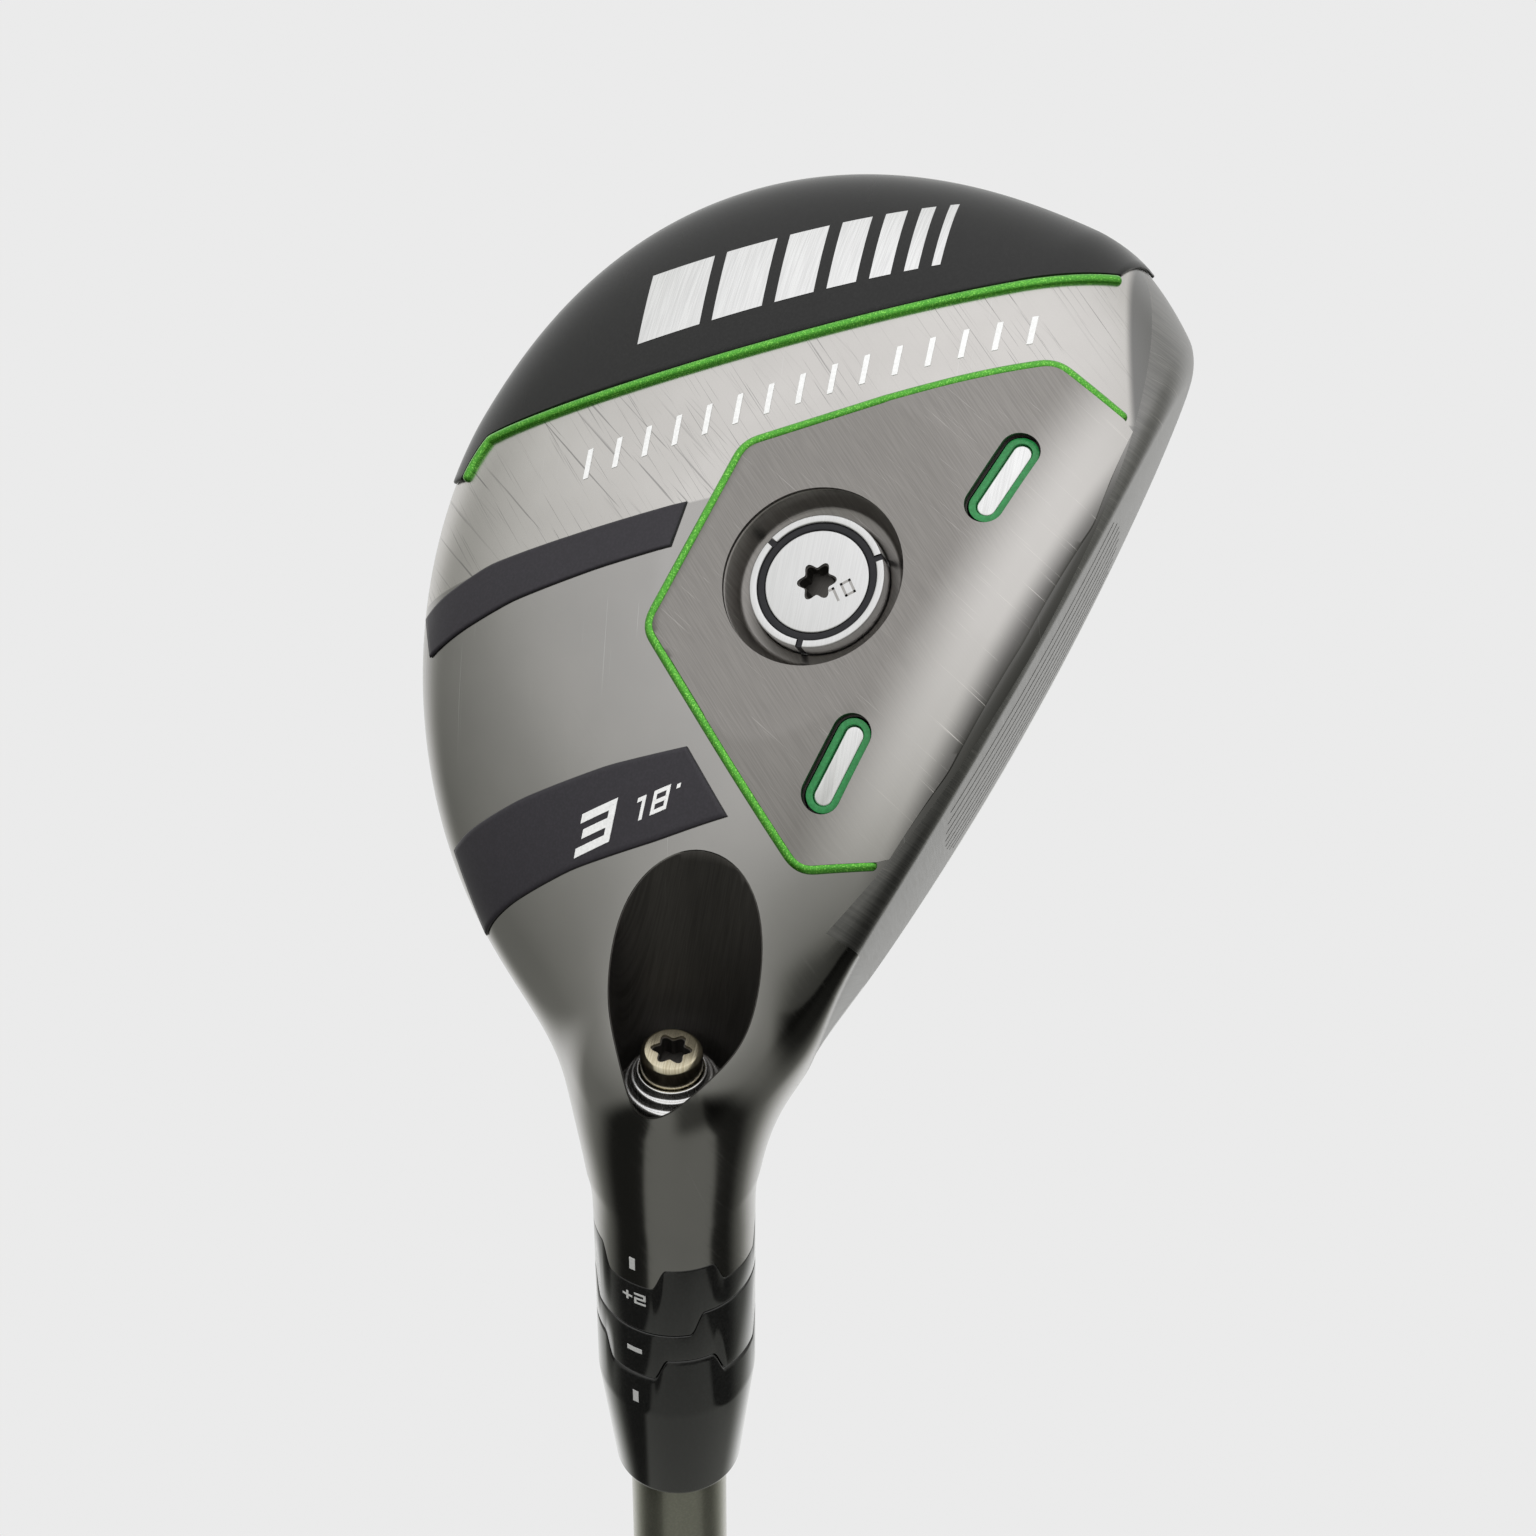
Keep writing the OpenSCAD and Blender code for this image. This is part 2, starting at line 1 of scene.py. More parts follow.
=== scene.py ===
# %% [markdown]
# # An adjustable hybrid golf club
#
# The club is a hollow steel head, a stack of toothed rings that sets loft and lie, a long thin
# shaft and a rubber grip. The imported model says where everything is. This lesson builds the
# visible skin of each part over it, in the same frame, and gives every part its finish.

import json
import math

import bmesh
import bpy
import numpy as np
from mathutils import Matrix, Vector


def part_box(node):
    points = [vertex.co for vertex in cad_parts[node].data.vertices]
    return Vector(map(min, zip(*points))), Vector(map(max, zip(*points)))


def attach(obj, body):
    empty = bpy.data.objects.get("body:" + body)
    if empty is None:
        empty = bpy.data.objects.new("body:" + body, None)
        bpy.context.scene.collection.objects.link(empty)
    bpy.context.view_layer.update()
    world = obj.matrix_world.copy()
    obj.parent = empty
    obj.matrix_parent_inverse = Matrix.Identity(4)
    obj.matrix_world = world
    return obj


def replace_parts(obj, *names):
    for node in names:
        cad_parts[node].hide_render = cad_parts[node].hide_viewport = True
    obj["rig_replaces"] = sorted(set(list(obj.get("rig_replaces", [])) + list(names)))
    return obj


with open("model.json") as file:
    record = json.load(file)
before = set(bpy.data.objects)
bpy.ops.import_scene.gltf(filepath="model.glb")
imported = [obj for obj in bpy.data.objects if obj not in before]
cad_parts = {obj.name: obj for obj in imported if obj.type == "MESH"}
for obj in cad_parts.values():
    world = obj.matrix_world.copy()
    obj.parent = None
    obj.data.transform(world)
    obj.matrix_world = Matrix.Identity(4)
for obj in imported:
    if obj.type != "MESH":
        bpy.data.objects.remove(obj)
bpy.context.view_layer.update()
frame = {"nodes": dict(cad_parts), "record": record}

# %% [markdown]
# ## Where things are
#
# Lengths below are in millimetres, because a golf head is easier to think about that way, and
# each mesh is turned to metres as it is made. The lie angle, the shaft's axis and the middle of
# the sole weight all come from the joints and mounts of the model.

# %% Read the axes from the record
MM = 0.001
joints = {j["name"]: j for j in frame["record"]["behaviour"]["joints"]}
mounts = {m["name"]: m for m in frame["record"]["mounts"]}
shaft_way = np.array(joints["shaft_release"]["axis"])
lie = math.atan2(shaft_way[2], -shaft_way[0])
screw_at = np.array(mounts["hosel_drive"]["pos_m"]) / MM
screw_face_s = screw_at[2] / math.sin(lie)
axis_foot = screw_at - shaft_way * screw_face_s
weight_at = np.array(joints["weight_turn"]["pos_m"]) / MM
axis_right = np.array([math.sin(lie), 0, math.cos(lie)])
towards_face = np.array([0.0, 1.0, 0.0])
print("lie", round(math.degrees(lie), 1), "axis meets the ground at", axis_foot.round(2))


def on_axis(points):
    """Points given round the shaft axis, as (across, towards the face, along)."""
    return axis_foot + np.asarray(points, float) @ np.array([axis_right, towards_face, shaft_way])


def low_high(node):
    """The two corners of a node's box, in millimetres."""
    low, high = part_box(node)
    return np.array(low) / MM, np.array(high) / MM


# %% [markdown]
# ## Small tools for meshes
#
# Each piece is made from a list of points and faces. `plain_object` turns them into an object
# that sits at the origin, with its normals facing outwards. `finish_piece` marks edges sharper
# than a set angle, and tells the frame which body the piece rides on and which solid it replaces.

# %% Make a piece
PIECES = []
JOIN_WITHIN, SLIVER = 1e-7, 1e-8


def link(name, data):
    thing = bpy.data.objects.new(name, data)
    bpy.context.collection.objects.link(thing)
    return thing


def clean(mesh):
    """Joins points that coincide, drops slivers and turns every face outwards."""
    work = bmesh.new()
    work.from_mesh(mesh)
    bmesh.ops.remove_doubles(work, verts=work.verts, dist=JOIN_WITHIN)
    bmesh.ops.dissolve_degenerate(work, edges=work.edges, dist=SLIVER)
    bmesh.ops.recalc_face_normals(work, faces=work.faces)
    work.to_mesh(mesh)
    work.free()


def plain_object(name, points, faces):
    mesh = bpy.data.meshes.new(name)
    mesh.from_pydata((np.asarray(points, float) * MM).tolist(), [], faces)
    clean(mesh)
    return link(name, mesh)


def grid_faces(rows, columns, around=False, closed=False):
    """Quads of a grid numbered row by row. Rows may run around, and the last may meet the first."""
    return [
        (
            i * columns + j,
            i * columns + (j + 1) % columns,
            (i + 1) % rows * columns + (j + 1) % columns,
            (i + 1) % rows * columns + j,
        )
        for i in range(rows if closed else rows - 1)
        for j in range(columns if around else columns - 1)
    ]


def finish_piece(thing, body, slot, stands_for=(), sharp=35, look=None):
    thing.data.shade_smooth()
    thing.data.set_sharp_from_angle(angle=math.radians(sharp))
    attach(thing, body)
    if stands_for:
        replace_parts(thing, *stands_for)
    thing["look"] = look or slot
    PIECES.append(thing)
    print(f"{thing.name}: {len(thing.data.polygons)} faces on {body}")
    return thing


# %% [markdown]
# Turned parts are a closed outline spun about the axis. The outline's corners are rounded first,
# because a real machined edge always catches a line of light. The outline may change with the
# angle, which is how the toothed rings get their steps.


# %% Turned parts
def rounded(outline, radius, steps=3):
    """A closed outline with each corner replaced by a small arc."""
    outline = np.asarray(outline, float)
    made = []
    for k, corner in enumerate(outline):
        before = outline[k - 1] - corner
        after = outline[(k + 1) % len(outline)] - corner
        reach = min(radius, 0.45 * np.linalg.norm(before), 0.45 * np.linalg.norm(after))
        if corner[0] < 1e-6:
            made.append(corner)
            continue
        start = corner + before / np.linalg.norm(before) * reach
        end = corner + after / np.linalg.norm(after) * reach
        for share in np.linspace(0, 1, steps + 1):
            back = 1 - share
            made.append(back**2 * start + 2 * share * back * corner + share**2 * end)
    return np.array(made)


def spun(radius, angle, height):
    """Points at a radius and an angle round an axis, and at a height along it."""
    return np.stack(np.broadcast_arrays(radius * np.cos(angle), radius * np.sin(angle), height), -1)


def turned(name, outline_at, place, steps=128):
    """Spins a closed outline of (radius, height). outline_at is an array or a rule by angle."""
    rows = []
    for k in range(steps):
        angle = 2 * math.pi * k / steps
        outline = outline_at(angle) if callable(outline_at) else outline_at
        rows.append(spun(outline[:, 0], angle, outline[:, 1]))
    faces = grid_faces(steps, len(rows[0]), around=True, closed=True)
    return plain_object(name, place(np.concatenate(rows)), faces)


def ring_outline(inner, outer, low, high, radius):
    return rounded([(inner, low), (outer, low), (outer, high), (inner, high)], radius)


def upright(points):
    """Points given round the sole weight's own axis."""
    return np.asarray(points, float) + [weight_at[0], weight_at[1], 0]


# %% [markdown]
# A boolean cuts recesses. The modifier is evaluated, its result becomes the object's own mesh,
# and the cutter is thrown away, so nothing live is left on the piece.


# %% Cut one mesh with others
def bake(thing):
    graph = bpy.context.evaluated_depsgraph_get()
    mesh = bpy.data.meshes.new_from_object(
        thing.evaluated_get(graph), preserve_all_data_layers=True, depsgraph=graph
    )
    thing.modifiers.clear()
    thing.data = mesh
    return thing


def carve(thing, cutters, operation="DIFFERENCE"):
    for cutter in cutters:
        step = thing.modifiers.new("cut", "BOOLEAN")
        step.object = cutter
        step.operation = operation
        step.solver = "MANIFOLD"
    bake(thing)
    for cutter in cutters:
        bpy.data.objects.remove(cutter)
    return thing


def prism(name, outline, low, high, place=upright):
    """A straight-sided solid with any outline."""
    outline = np.asarray(outline, float)
    count = len(outline)
    points = [(x, y, z) for z in (low, high) for x, y in outline]
    faces = [tuple(range(count)), tuple(range(count, 2 * count))]
    faces += grid_faces(2, count, around=True)
    return plain_object(name, place(np.array(points)), faces)


def circle(radius, swing=0.0, steps=96):
    """Outline of a circle, or of one whose radius swings six times a turn."""
    angles = np.linspace(0, 2 * math.pi, steps, endpoint=False)
    return spun(radius * (1 - swing + swing * np.cos(6 * angles)), angles, 0)[:, :2]


lobe_swing = 0.15


def six_lobes(radius):
    """Outline of a six-lobe driver recess."""
    return circle(radius, lobe_swing)


def capsule(length, width, steps=24):
    """Outline of a slot with round ends, lying along X."""
    half = (length - width) / 2
    right = np.linspace(-math.pi / 2, math.pi / 2, steps)
    ends = ((half, right), (-half, right + math.pi))
    return np.concatenate([spun(width / 2, a, 0)[:, :2] + [middle, 0] for middle, a in ends])


# %% [markdown]
# ## The shape of the head
#
# A golf head is one smooth skin with no straight lines in it. It is easiest to write as a rule
# that says how far any point is from the skin: an oval body with a softly bulged face cut across
# it, blended into the round neck. The skin is then where the rule is zero.

# %% The rule of the head
loft = math.radians(18)
plan_middle = np.array([2.0, 12.5])
reach_toe, reach_heel, reach_rear, reach_front = 42.5, 49.5, 45.5, 31.0
power_toe, power_heel, power_front = 2.3, 1.8, 1.62
skirt_height, skirt_slope, sole_dip, crown_height = 16.0, 0.116, 0.3, 23.0
sole_power, crown_power = 2.3, 2.0
face_y, face_z, face_middle = 32.2, 3.7, 16.0
face_bulge, face_roll, face_edge = 305.0, 300.0, 1.6
rim_s, neck_bottom_s, neck_blend, neck_fade = 35.1, 14.0, 18.0, 9.0
liner_low, liner_high = low_high("hosel_liner")
hosel_r = (liner_high[1] - liner_low[1]) / 2
pad_height = 0.5


def plan_share(x, y):
    """0 at the middle of the head seen from above, 1 on its outline."""
    dx, dy = x - plan_middle[0], y - plan_middle[1]
    reach_x = np.where(dx > 0, reach_toe, reach_heel)
    reach_y = np.where(dy > 0, reach_front, reach_rear)
    power = np.where(dy > 0, power_front, np.where(dx > 0, power_toe, power_heel))
    total = (np.abs(dx) / reach_x) ** power + (np.abs(dy) / reach_y) ** power
    return total ** (1 / power)


def body_rule(p):
    x, y, z = p[..., 0], p[..., 1], p[..., 2]
    skirt = skirt_height + skirt_slope * y
    dz = z - skirt
    low = dz < 0
    power = np.where(low, sole_power, crown_power)
    height = np.where(low, skirt + sole_dip, crown_height)
    share = (plan_share(x, y) ** power + (np.abs(dz) / height) ** power) ** (1 / power) + 1e-9
    span = np.sqrt((x - plan_middle[0]) ** 2 + (y - plan_middle[1]) ** 2 + dz**2)
    return np.maximum(span * (1 - 1 / share), pad_height - z)


def face_rule(p):
    x, y, z = p[..., 0], p[..., 1], p[..., 2]
    up = (z - face_z) * math.cos(loft) - (y - face_y) * math.sin(loft) - face_middle
    face = (y - face_y) * math.cos(loft) + (z - face_z) * math.sin(loft)
    return face + x * x / (2 * face_bulge) + (up * up - face_middle**2) / (2 * face_roll)


def head_rule(p):
    body, face = body_rule(p), face_rule(p)
    corner = np.hypot(np.maximum(face_edge + body, 0), np.maximum(face_edge + face, 0))
    head = np.minimum(-face_edge, np.maximum(body, face)) + corner
    from_foot = p - axis_foot
    along = from_foot @ shaft_way
    nearest = np.maximum(along, neck_bottom_s)[..., None] * shaft_way
    neck = np.linalg.norm(from_foot - nearest, axis=-1) - hosel_r
    fade = np.clip((rim_s - along) / neck_fade, 0, 1)
    near = np.maximum(neck_blend - np.abs(head - neck), 0) / neck_blend * fade
    return np.minimum(head, neck) - near**3 * neck_blend / 6


def head_normal(p, step=0.02):
    here = head_rule(p)
    slope = np.stack([head_rule(p + step * e) - here for e in np.eye(3)], -1)
    return slope / np.linalg.norm(slope, axis=-1, keepdims=True)


def find_skin(start, way, far, steps=34):
    """Halves the search from inside the head outwards until the skin is found."""
    near = np.zeros(start.shape[:-1])
    far = np.broadcast_to(np.asarray(far, float), near.shape).copy()
    for _ in range(steps):
        middle = (near + far) / 2
        inside = head_rule(start + way * middle[..., None]) < 0
        near, far = np.where(inside, middle, near), np.where(inside, far, middle)
    return start + way * far[..., None]


print("hosel radius", round(float(hosel_r), 2))

# %% [markdown]
# The skin is found on a fan of sections. They start square to the shaft in the neck, swing round
# a pivot over the crown, and end square to the heel-toe line at the toe. That keeps the grid even
# everywhere, so polished steel shows no facets.

# %% The grid of the skin
fan_s, neck_top_s, pivot_r = 29.6, 32.0, 26.0
middle_y, middle_z = 7.5, 17.7
face_from, face_to, crown_to = 60.0, 141.0, 273.0
toe_turn = math.radians(89.4)
pivot = axis_foot + shaft_way * fan_s + axis_right * pivot_r
toe_x = plan_middle[0] + reach_toe
toe_z = skirt_height + skirt_slope * plan_middle[1]
neck_rows, fan_rows, body_rows = 12, 52, 120
face_columns, crown_columns, sole_columns = 64, 84, 124


def section_list():
    """Each section's middle and its downward direction."""
    middles, ways = [], []
    for s in np.linspace(neck_top_s, fan_s, neck_rows, endpoint=False):
        middles.append(axis_foot + shaft_way * s)
        ways.append(-axis_right)
    for f in np.linspace(0, 1, fan_rows, endpoint=False):
        a = math.radians(270) - lie * (1 - f)
        way = np.array([math.cos(a), 0, math.sin(a)])
        at = pivot + way * (pivot_r + (pivot[2] - middle_z - pivot_r) * f)
        at[1] = axis_foot[1] + (middle_y - axis_foot[1]) * f * f * (3 - 2 * f)
        middles.append(at)
        ways.append(way)
    for f in np.linspace(0, 1, body_rows + 1):
        x = pivot[0] + (toe_x - pivot[0]) * math.sin(toe_turn * f)
        share = (x - pivot[0]) / (toe_x - pivot[0])
        y = middle_y + (plan_middle[1] - middle_y) * share**3
        z = middle_z + (toe_z - middle_z) * share**2
        middles.append(np.array([x, y, z]))
        ways.append(np.array([0, 0, -1.0]))
    return np.array(middles), np.array(ways)


middles, downs = section_list()
spans = (
    (face_from, face_to, face_columns),
    (face_to, crown_to, crown_columns),
    (crown_to, 360 + face_from, sole_columns),
)
angles = np.radians(np.concatenate([np.linspace(*span, endpoint=False) for span in spans]))
ray_ways = downs[:, None] * np.cos(angles)[None, :, None]
ray_ways = ray_ways + towards_face * np.sin(angles)[None, :, None]
skin = find_skin(np.broadcast_to(middles[:, None], ray_ways.shape), ray_ways, 75)
skin_normals = head_normal(skin)
row_count, column_count = skin.shape[:2]
print("skin grid", row_count, "x", column_count)

# %% [markdown]
# The head is three shells that meet edge to edge: the cast body, the forged face cup and the
# thin crown. Each one is the same grid, kept only where that shell runs, and given a wall by
# stepping in along the normals. The neck's first row is pulled up and down to make the teeth
# that the first loft ring sits on.

# %% The teeth between hosel, rings and ferrule
tooth_height, tooth_flank = 2.9, 11.0


def steps_down(angle, first, count, width):
    """1 where a toothed joint steps towards the head, 0 where it steps away, sloped between."""
    spacing = 2 * math.pi / count
    off = np.abs((angle - math.radians(first) + spacing / 2) % spacing - spacing / 2)
    share = (math.radians(width) / 2 - off) / math.radians(tooth_flank) + 0.5
    share = np.clip(share, 0, 1)
    return share * share * (3 - 2 * share)


def joint_height(level, angle, s):
    """Height of toothed joint number 1, 2 or 3 round the axis."""
    first, count, width = [(42, 4, 45), (82, 2, 90), (42, 4, 45)][level - 1]
    return s - tooth_height * steps_down(angle, first, count, width)


# %% Cut the shells from the grid
toe_first = row_count - 4
crown_first = neck_rows // 2
face_first = neck_rows + fan_rows + 4


def shell(name, keep, wall, toe_cap=False):
    """A closed shell over the cells of the grid that keep(row, column) picks."""
    inner = skin - skin_normals * wall
    tip = np.array([toe_x - 0.02, plan_middle[1], toe_z])
    points = np.concatenate([skin.reshape(-1, 3), inner.reshape(-1, 3), [tip, tip - [wall, 0, 0]]])
    total = row_count * column_count
    rows, columns = np.meshgrid(range(row_count - 1), range(column_count), indexing="ij")
    kept = keep(rows, columns)

    def at(i, j):
        return i * column_count + j % column_count

    faces = []
    for i, j in zip(*np.nonzero(kept)):
        i, j = int(i), int(j)
        quad = [at(i, j), at(i, j + 1), at(i + 1, j + 1), at(i + 1, j)]
        faces.append(quad)
        faces.append([total + v for v in reversed(quad)])
        last_row = i == row_count - 2
        open_sides = [
            (not kept[i, j - 1], quad[0], quad[3]),
            (not kept[i, (j + 1) % column_count], quad[2], quad[1]),
            (i == 0 or not kept[i - 1, j], quad[1], quad[0]),
            (not toe_cap if last_row else not kept[i + 1, j], quad[3], quad[2]),
        ]
        for is_open, a, b in open_sides:
            if is_open:
                faces.append([a, b, total + b, total + a])
    if toe_cap:
        last = row_count - 1
        for j in range(column_count):
            faces.append([at(last, j), at(last, j + 1), 2 * total])
            faces.append([total + at(last, j + 1), total + at(last, j), 2 * total + 1])
    used = sorted({v for face in faces for v in face})
    renumber = {v: k for k, v in enumerate(used)}
    return plain_object(name, points[used], [[renumber[v] for v in face] for face in faces])


def on_crown(i, j):
    columns = (j >= face_columns) & (j < face_columns + crown_columns)
    return (i >= crown_first) & (i < toe_first) & columns


def on_face(i, j):
    return (i >= face_first) & (i < toe_first) & (j < face_columns)


neck_angle = np.arctan2((skin[0] - axis_foot)[:, 1], (skin[0] - axis_foot) @ axis_right)
rim_height = joint_height(1, neck_angle, rim_s)
for row in range(neck_rows):
    share = 1 - row / neck_rows
    lift = (rim_height - neck_top_s) * share
    skin[row] += shaft_way * lift[:, None]
skin_wall, face_wall = 1.2, 2.0
casting = shell("head_casting", lambda i, j: ~on_crown(i, j) & ~on_face(i, j), skin_wall, True)
crown = shell("head_crown", on_crown, skin_wall)
face = shell("head_face", on_face, face_wall)
finish_piece(crown, "head", "crown_black", ["crown"], sharp=50, look="crown_gloss")
finish_piece(face, "head", "face_steel", ["face_cup"], sharp=50)

# %% [markdown]
# ## Recesses in the sole
#
# The sole has four recesses: the round one for the weight, two slots over the struts inside, and
# a long scoop that lets a wrench reach the screw up in the hosel. The scoop is lofted from an
# oval at the sole to the round seat of the screw, and a thin wall lines it.

# %% The screw's scoop
seat_s, seat_r = 16.6, 5.5
scoop_below, scoop_rings = 2.0, 24
scoop_lining, scoop_play = 0.7, 0.12
scoop_middle = np.array([-34.75, 18.55])
scoop_half = np.array([13.65, 7.77])
scoop_turn = math.radians(-22.3)
scoop_taper = 0.647


def scoop(name, grow):
    """Lofted cutter from an oval under the sole up to a circle at the screw's seat."""
    turn = np.linspace(0, 2 * math.pi, 96, endpoint=False)
    along = (scoop_half[0] + grow) * np.cos(turn)
    across = (scoop_half[1] + grow) * np.sin(turn) * (1 + scoop_taper * np.cos(turn))
    oval_x = scoop_middle[0] + along * math.cos(scoop_turn) - across * math.sin(scoop_turn)
    oval_y = scoop_middle[1] + along * math.sin(scoop_turn) + across * math.cos(scoop_turn)
    oval = np.stack([oval_x, oval_y, np.full_like(turn, -scoop_below - grow)], 1)
    seat = on_axis(spun(seat_r + grow, turn, seat_s + grow))
    points = np.concatenate([oval + (seat - oval) * f for f in np.linspace(0, 1, scoop_rings)])
    count = len(turn)
    faces = [tuple(range(count)), tuple(range(len(points) - count, len(points)))]
    return plain_object(name, points, faces + grid_faces(scoop_rings, count, around=True))


def filled_head(name, inset):
    """The whole head as one solid, stepped in by inset, to trim what lies inside it."""
    points = (skin - skin_normals * inset).reshape(-1, 3)
    ends = [points[:column_count].mean(0), points[-column_count:].mean(0)]
    faces = grid_faces(row_count, column_count, around=True)
    total, last = len(points), len(points) - column_count
    for j in range(column_count):
        n = (j + 1) % column_count
        faces += [(j, n, total), (last + j, last + n, total + 1)]
    return plain_object(name, np.concatenate([points, ends]), faces)


scoop_wall = scoop("screw_scoop", scoop_lining)
trim_inset = 0.06
carve(scoop_wall, [filled_head("trim", trim_inset)], "INTERSECT")
carve(scoop_wall, [scoop("cutter", 0.0)])
finish_piece(scoop_wall, "head", "inner_steel")

# %% Cut the casting
strut_low, strut_high = low_high("strut_rims")
strut_length, strut_width, slot_play = 9.1, 3.1, 0.5
strut_middle_x = (strut_low[0] + strut_length / 2, strut_high[0] - strut_length / 2)
strut_middle_y = (strut_low[1] + strut_high[1]) / 2
recess_r = 8.6


def at_strut(x):
    return lambda points: np.asarray(points, float) + [x, strut_middle_y, 0]


def strut_outline(grow):
    return capsule(strut_length + grow, strut_width + grow)


def sole_cutters(grow):
    """Cutters for the weight's recess and the two strut slots."""
    outline = strut_outline(slot_play + grow)
    slots = [prism("slot", outline, -2, 6, at_strut(x)) for x in strut_middle_x]
    return slots + [prism("recess", circle(recess_r + grow), -2, 6)]


casting_play = 0.4
carve(casting, [scoop("cutter", scoop_play)] + sole_cutters(casting_play))
finish_piece(casting, "head", "smoked_steel", ["body_casting"], sharp=20)

# %% [markdown]
# ## Panels, beads and stripes on the sole
#
# Everything on the sole follows its curve. `to_sole` drops a point of the flat layout onto the
# skin, and `patch` fills between two edges with a thin raised panel whose border is eased over.


# %% Put flat drawings on the sole
def to_sole(flat, height=0.0):
    """Drops flat points from just under the head's widest level, then lifts them off the skin."""
    flat = np.asarray(flat, float)
    below_skirt, search = 0.3, 24.0
    level = skirt_height + skirt_slope * flat[..., 1] - below_skirt
    start = np.concatenate([flat, level[..., None]], -1)
    hit = find_skin(start, np.array([0.0, 0.0, -1.0]), search)
    return hit + head_normal(hit) * np.asarray(height, float)[..., None]


def travel_along(points):
    """How far along a run of lines each of its points lies."""
    return np.concatenate([[0], np.cumsum(np.linalg.norm(np.diff(points, axis=0), axis=1))])


def read_off(points, at, wanted):
    """Points read off a run of lines at wanted places, where the places `at` are its own points."""
    return np.stack([np.interp(wanted, at, points[:, k]) for k in range(2)], 1)


def resample(points, count, soften=0.0):
    """Evenly spaced points on a run of lines, with its corners softened over a length."""
    points = np.asarray(points, float)
    if soften:
        dense = resample(points, 600)
        step = np.linalg.norm(np.diff(dense, axis=0), axis=1).mean()
        reach = max(1, int(soften / step / 2))
        index = np.arange(len(dense))
        near = np.minimum(np.minimum(index, len(dense) - 1 - index), reach)
        sums = np.concatenate([[[0, 0]], np.cumsum(dense, 0)])
        points = (sums[index + near + 1] - sums[index - near]) / (2 * near + 1)[:, None]
    travel = travel_along(points)
    return read_off(points, travel, np.linspace(0, travel[-1], count))


def patch(name, edge_a, edge_b, along, across, low, high, ease=0.12):
    """A closed panel on the sole between two edges with the same number of points."""
    a, b = resample(edge_a, along), resample(edge_b, along)
    width = np.linalg.norm(b - a, axis=1).mean()
    length = np.linalg.norm(np.diff(a, axis=0), axis=1).sum()

    def eased(count, size):
        near = ease / size
        return np.concatenate([[0, near], np.linspace(0, 1, count)[1:-1], [1 - near, 1]])

    u, v = eased(along, length), eased(across, width)
    a, b = (read_off(edge, range(along), u * (along - 1)) for edge in (a, b))
    flat = a[:, None] + (b - a)[:, None] * v[None, :, None]
    raised = np.full(flat.shape[:2], float(high))
    raised[[0, -1]] -= ease
    raised[:, [0, -1]] = high - ease
    top, bottom = to_sole(flat, raised), to_sole(flat, np.full_like(raised, low))
    n, m = flat.shape[:2]
    total = n * m
    faces = []
    for quad in grid_faces(n, m):
        faces += [quad, [total + v for v in reversed(quad)]]
    rim = [i * m for i in range(n)] + [(n - 1) * m + j for j in range(1, m)]
    rim += [i * m + m - 1 for i in range(n - 2, -1, -1)] + [j for j in range(m - 2, 0, -1)]
    for k, here in enumerate(rim):
        there = rim[(k + 1) % len(rim)]
        faces.append([here, there, total + there, total + here])
    return plain_object(name, np.concatenate([top.reshape(-1, 3), bottom.reshape(-1, 3)]), faces)


def leftwards(points):
    """Unit steps to the left of a run of points."""
    d = np.gradient(points, axis=0)
    d /= np.linalg.norm(d, axis=1, keepdims=True)
    return np.stack([-d[:, 1], d[:, 0]], 1)


def beside(points, offset):
    """The same run of points moved sideways, to its left for a positive offset."""
    points = np.asarray(points, float)
    return points + leftwards(points) * offset


# %% The pad round the weight
pad_rear = [(-19.9, 28.5), (-23.6, 22.9), (-10.6, -0.9), (8.3, -1.6), (27.8, 19.8), (26.3, 27.3)]
pad_front = [(-19.2, 29.3), (-10, 30.7), (3, 31.1), (16, 30.5), (25.8, 28.3)]
pad_rear_soft = resample(pad_rear, 170, soften=2.2)
pad_edges = (pad_rear_soft, resample(pad_front, 170, 2))
pad = patch("sole_pad", *pad_edges, 170, 40, 0.04, pad_height - 0.02)
carve(pad, sole_cutters(0.0))
finish_piece(pad, "head", "pad_steel", ["sole_pad"], sharp=40)

# %% The dark rear panel
turns = np.linspace(math.radians(-7), math.radians(90), 120)
trim_rear = [(39.4 - 39.8 * f, 18.4 - 47.2 * f + 5.6 * f * (1 - f)) for f in np.linspace(0, 1, 60)]
trim_rear += [(-1.6, -29.1), (-3.1, -29.3), (-4.9, -29.3)]
rear_share = 0.978
rear_x = plan_middle[0] + reach_toe * rear_share * np.cos(turns) ** (2 / power_toe)
rear_reach = np.where(turns < 0, -reach_front, reach_rear) * rear_share
rear_y = plan_middle[1] - rear_reach * np.abs(np.sin(turns)) ** (2 / power_toe)
past_middle = np.linspace(0.4, 7.2, 12)
past_fall = (1 - (past_middle / (reach_heel * rear_share)) ** power_heel) ** (1 / power_heel)
past_edge = [plan_middle[0] - past_middle, plan_middle[1] - reach_rear * rear_share * past_fall]
rear_edge = np.concatenate([np.stack([rear_x, rear_y], 1), np.stack(past_edge, 1)])
rear = patch("rear_panel", beside(trim_rear, 0.55), rear_edge, 120, 44, 0.04, 0.38)
finish_piece(rear, "head", "crown_black", ["rear_panel"], sharp=50)

